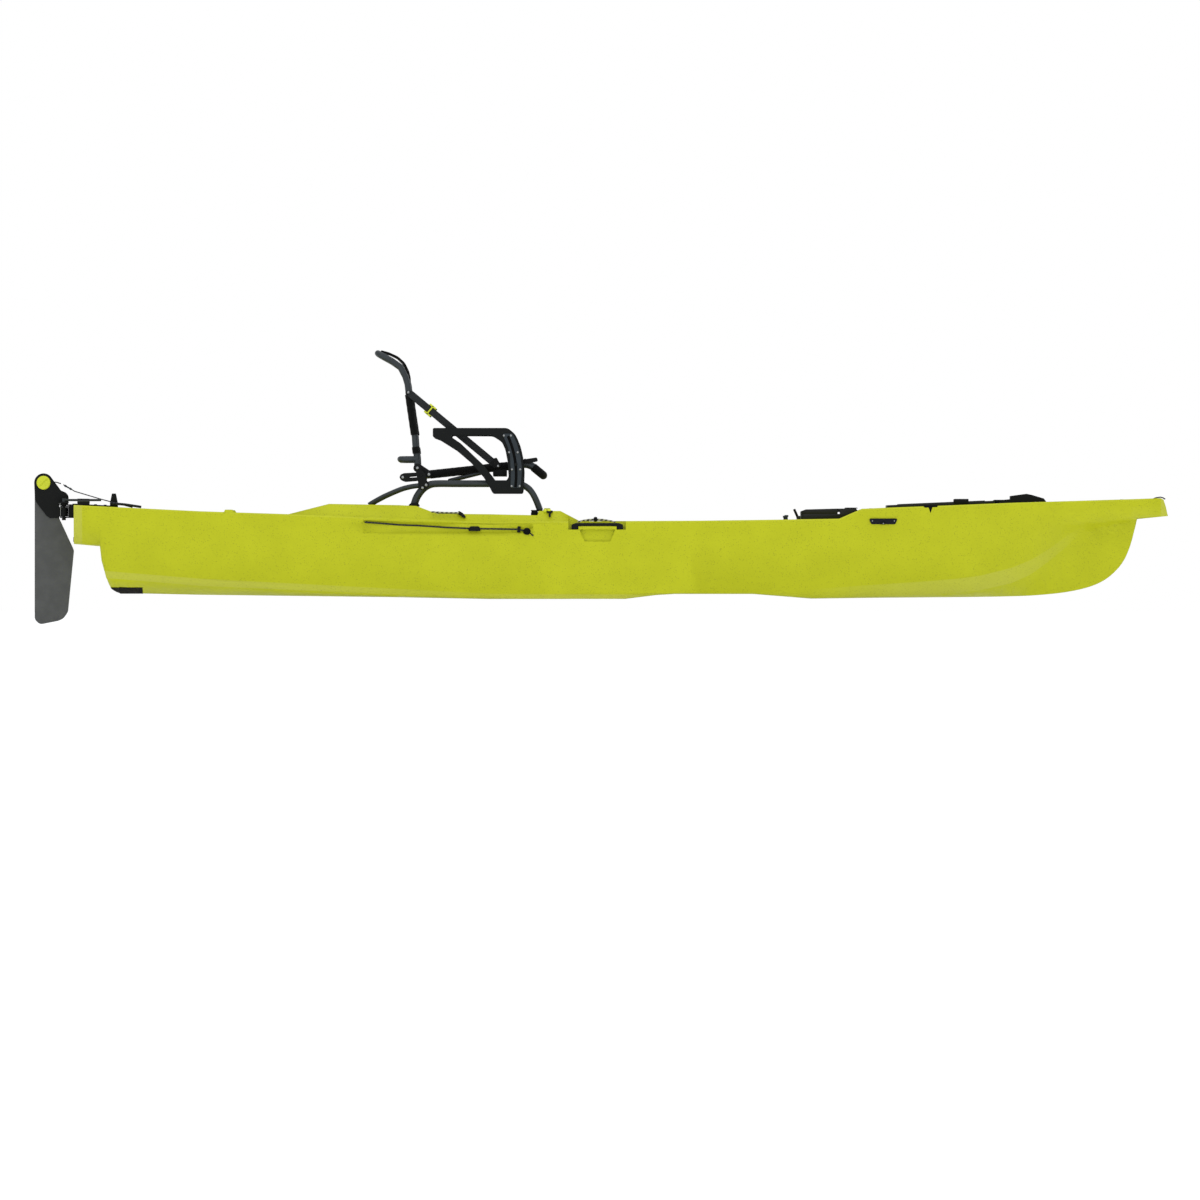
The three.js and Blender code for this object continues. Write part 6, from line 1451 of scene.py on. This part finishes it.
def paddleLoops():
    for name, side in sides:
        y = bead["y"] * side
        points = [(0.133, 0.2702), (0.15, 0.2755), (0.172, 0.279), (0.188, 0.280), (0.204, 0.280),
                  (0.222, 0.279), (0.246, 0.275), (0.266, 0.2702)]
        route = rounded([(x, y, z) for x, z in points], 0.03, 4)
        loop = built(f"paddle_bungee_{name}_cord", lambda edit: sweep(edit, route, 0.0026, 12), bungeeCord)
        smoothed(loop, 60)
        seated(loop, "hull", "cord_black", f"paddle_bungee_{name}")

        def ribbed(edit):
            profile = [(-0.0065, 0.0045), (-0.0055, 0.0068), (-0.003, 0.0084), (0, 0.0088), (0.003, 0.0084),
                       (0.0055, 0.0068), (0.0065, 0.0045)]
            rings = []
            for x, radius in profile:
                rings.append([edit.verts.new((bead["x"] + x, y + radius * math.cos(a),
                                              bead["z"] + radius * math.sin(a)))
                              for a in np.linspace(0, 2 * math.pi, 24, endpoint=False)])
            joined(edit, rings)
        ring = smoothed(built(f"paddle_bungee_{name}_bead", ribbed, blackRubber), 60)
        seated(ring, "hull", "black_plastic")
        declared(route)


def rudderLines():
    points = [(-1.682, -0.017, 0.404), (-1.680, -0.017, 0.402), (-1.651, -0.018, 0.3855),
              (-1.642, -0.018, 0.380), (-1.548, -0.027, 0.352), (-1.438, -0.028, 0.3230)]
    route = rounded(points, 0.02, 4)
    line = built("rudder_lift_cord", lambda edit: sweep(edit, route, 0.0018, 10), blackCord)
    smoothed(line, 60)
    seated(line, "hull", "cord_black", "rudder_lift_line")

    def turnbuckle(edit):
        start, end = Vector(points[1]), Vector(points[2])
        at = lambda share: start + (end - start) * share
        for fromShare, toShare, size in ((0.06, 0.94, 0.0026), (0.10, 0.28, 0.0039), (0.72, 0.90, 0.0039)):
            drum(edit, at(fromShare), at(toShare), size, 12)
    buckle = smoothed(built("rudder_lift_turnbuckle", turnbuckle, greyTube), 40)
    seated(buckle, "hull", "steel")
    declared(route)
    for name, side in sides:
        low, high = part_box(f"steering_hose_{name}")
        y = (low.y + high.y) / 2
        ends = ((low.x + 0.0008, high.z - 0.0048), (-1.46, 0.3330), (high.x - 0.0006, low.z + 0.0048))
        path = rounded([(x, y, z) for x, z in ends], 0.2, 6)
        hose = built(f"steering_hose_{name}_sleeve", lambda edit: sweep(edit, path, 0.0044, 16), blackCord)
        seated(smoothed(hose, 60), "hull", "cord_black", f"steering_hose_{name}")
        declared(path)


sideCords()
hookCords()
paddleLoops()
rudderLines()
print("cords made")

# Floor, backdrop and light
floorMaterial = bpy.data.materials.new("paleFloor")
floorMaterial.use_nodes = True
floorShader = floorMaterial.node_tree.nodes["Principled BSDF"]
floorShader.inputs["Base Color"].default_value = (0.76, 0.76, 0.76, 1)
floorShader.inputs["Roughness"].default_value = 0.9
floorShader.inputs["Specular IOR Level"].default_value = 0.0
floorShader.inputs["Emission Color"].default_value = (1, 1, 1, 1)
floorShader.inputs["Emission Strength"].default_value = 0.30
floorMesh = bpy.data.meshes.new("floor")
floorMesh.from_pydata([(-60, -87, -0.12), (60, -87, -0.12), (60, 160, -0.12), (-60, 160, -0.12)], [],
                      [(0, 1, 2, 3)])
floor = linked("floor", floorMesh, floorMaterial)

world = bpy.data.worlds.new("studio")
bpy.context.scene.world = world
world.use_nodes = True
studio = world.node_tree
studio.nodes.clear()
path = studio.nodes.new("ShaderNodeLightPath")
seen = studio.nodes.new("ShaderNodeBackground")
seen.inputs["Color"].default_value = (1, 1, 1, 1)
seen.inputs["Strength"].default_value = 1.0
lit = studio.nodes.new("ShaderNodeBackground")
lit.inputs["Color"].default_value = (0.96, 0.98, 1, 1)
lit.inputs["Strength"].default_value = 0.76
pick = studio.nodes.new("ShaderNodeMixShader")
rays = studio.nodes.new("ShaderNodeMath")
rays.operation = "MAXIMUM"
studio.links.new(path.outputs["Is Camera Ray"], rays.inputs[0])
studio.links.new(path.outputs["Is Transmission Ray"], rays.inputs[1])
studio.links.new(rays.outputs[0], pick.inputs[0])
studio.links.new(lit.outputs[0], pick.inputs[1])
studio.links.new(seen.outputs[0], pick.inputs[2])
worldOut = studio.nodes.new("ShaderNodeOutputWorld")
studio.links.new(pick.outputs[0], worldOut.inputs[0])


def softbox(name, place, aim, size, power):
    lamp = bpy.data.lights.new(name, "AREA")
    lamp.shape = "RECTANGLE"
    lamp.size, lamp.size_y = size
    lamp.energy = power
    holder = bpy.data.objects.new(name, lamp)
    holder.location = place
    holder.rotation_euler = (Vector(aim) - Vector(place)).to_track_quat("-Z", "Y").to_euler()
    bpy.context.scene.collection.objects.link(holder)


sun = bpy.data.lights.new("highSky", "SUN")
sun.energy = 1.0
sun.angle = math.radians(70)
skyHolder = bpy.data.objects.new("highSky", sun)
skyHolder.rotation_euler = (math.radians(8), 0, 0)
bpy.context.scene.collection.objects.link(skyHolder)
softbox("nearSide", (-0.4, -6.0, 2.4), (0.2, 0, 0.2), (7.0, 2.4), 40)
softbox("farSide", (1.2, 4.6, 2.2), (0.2, 0, 0.25), (4.0, 1.8), 25)
bpy.context.scene.view_settings.view_transform = "Standard"
print("stage lit")
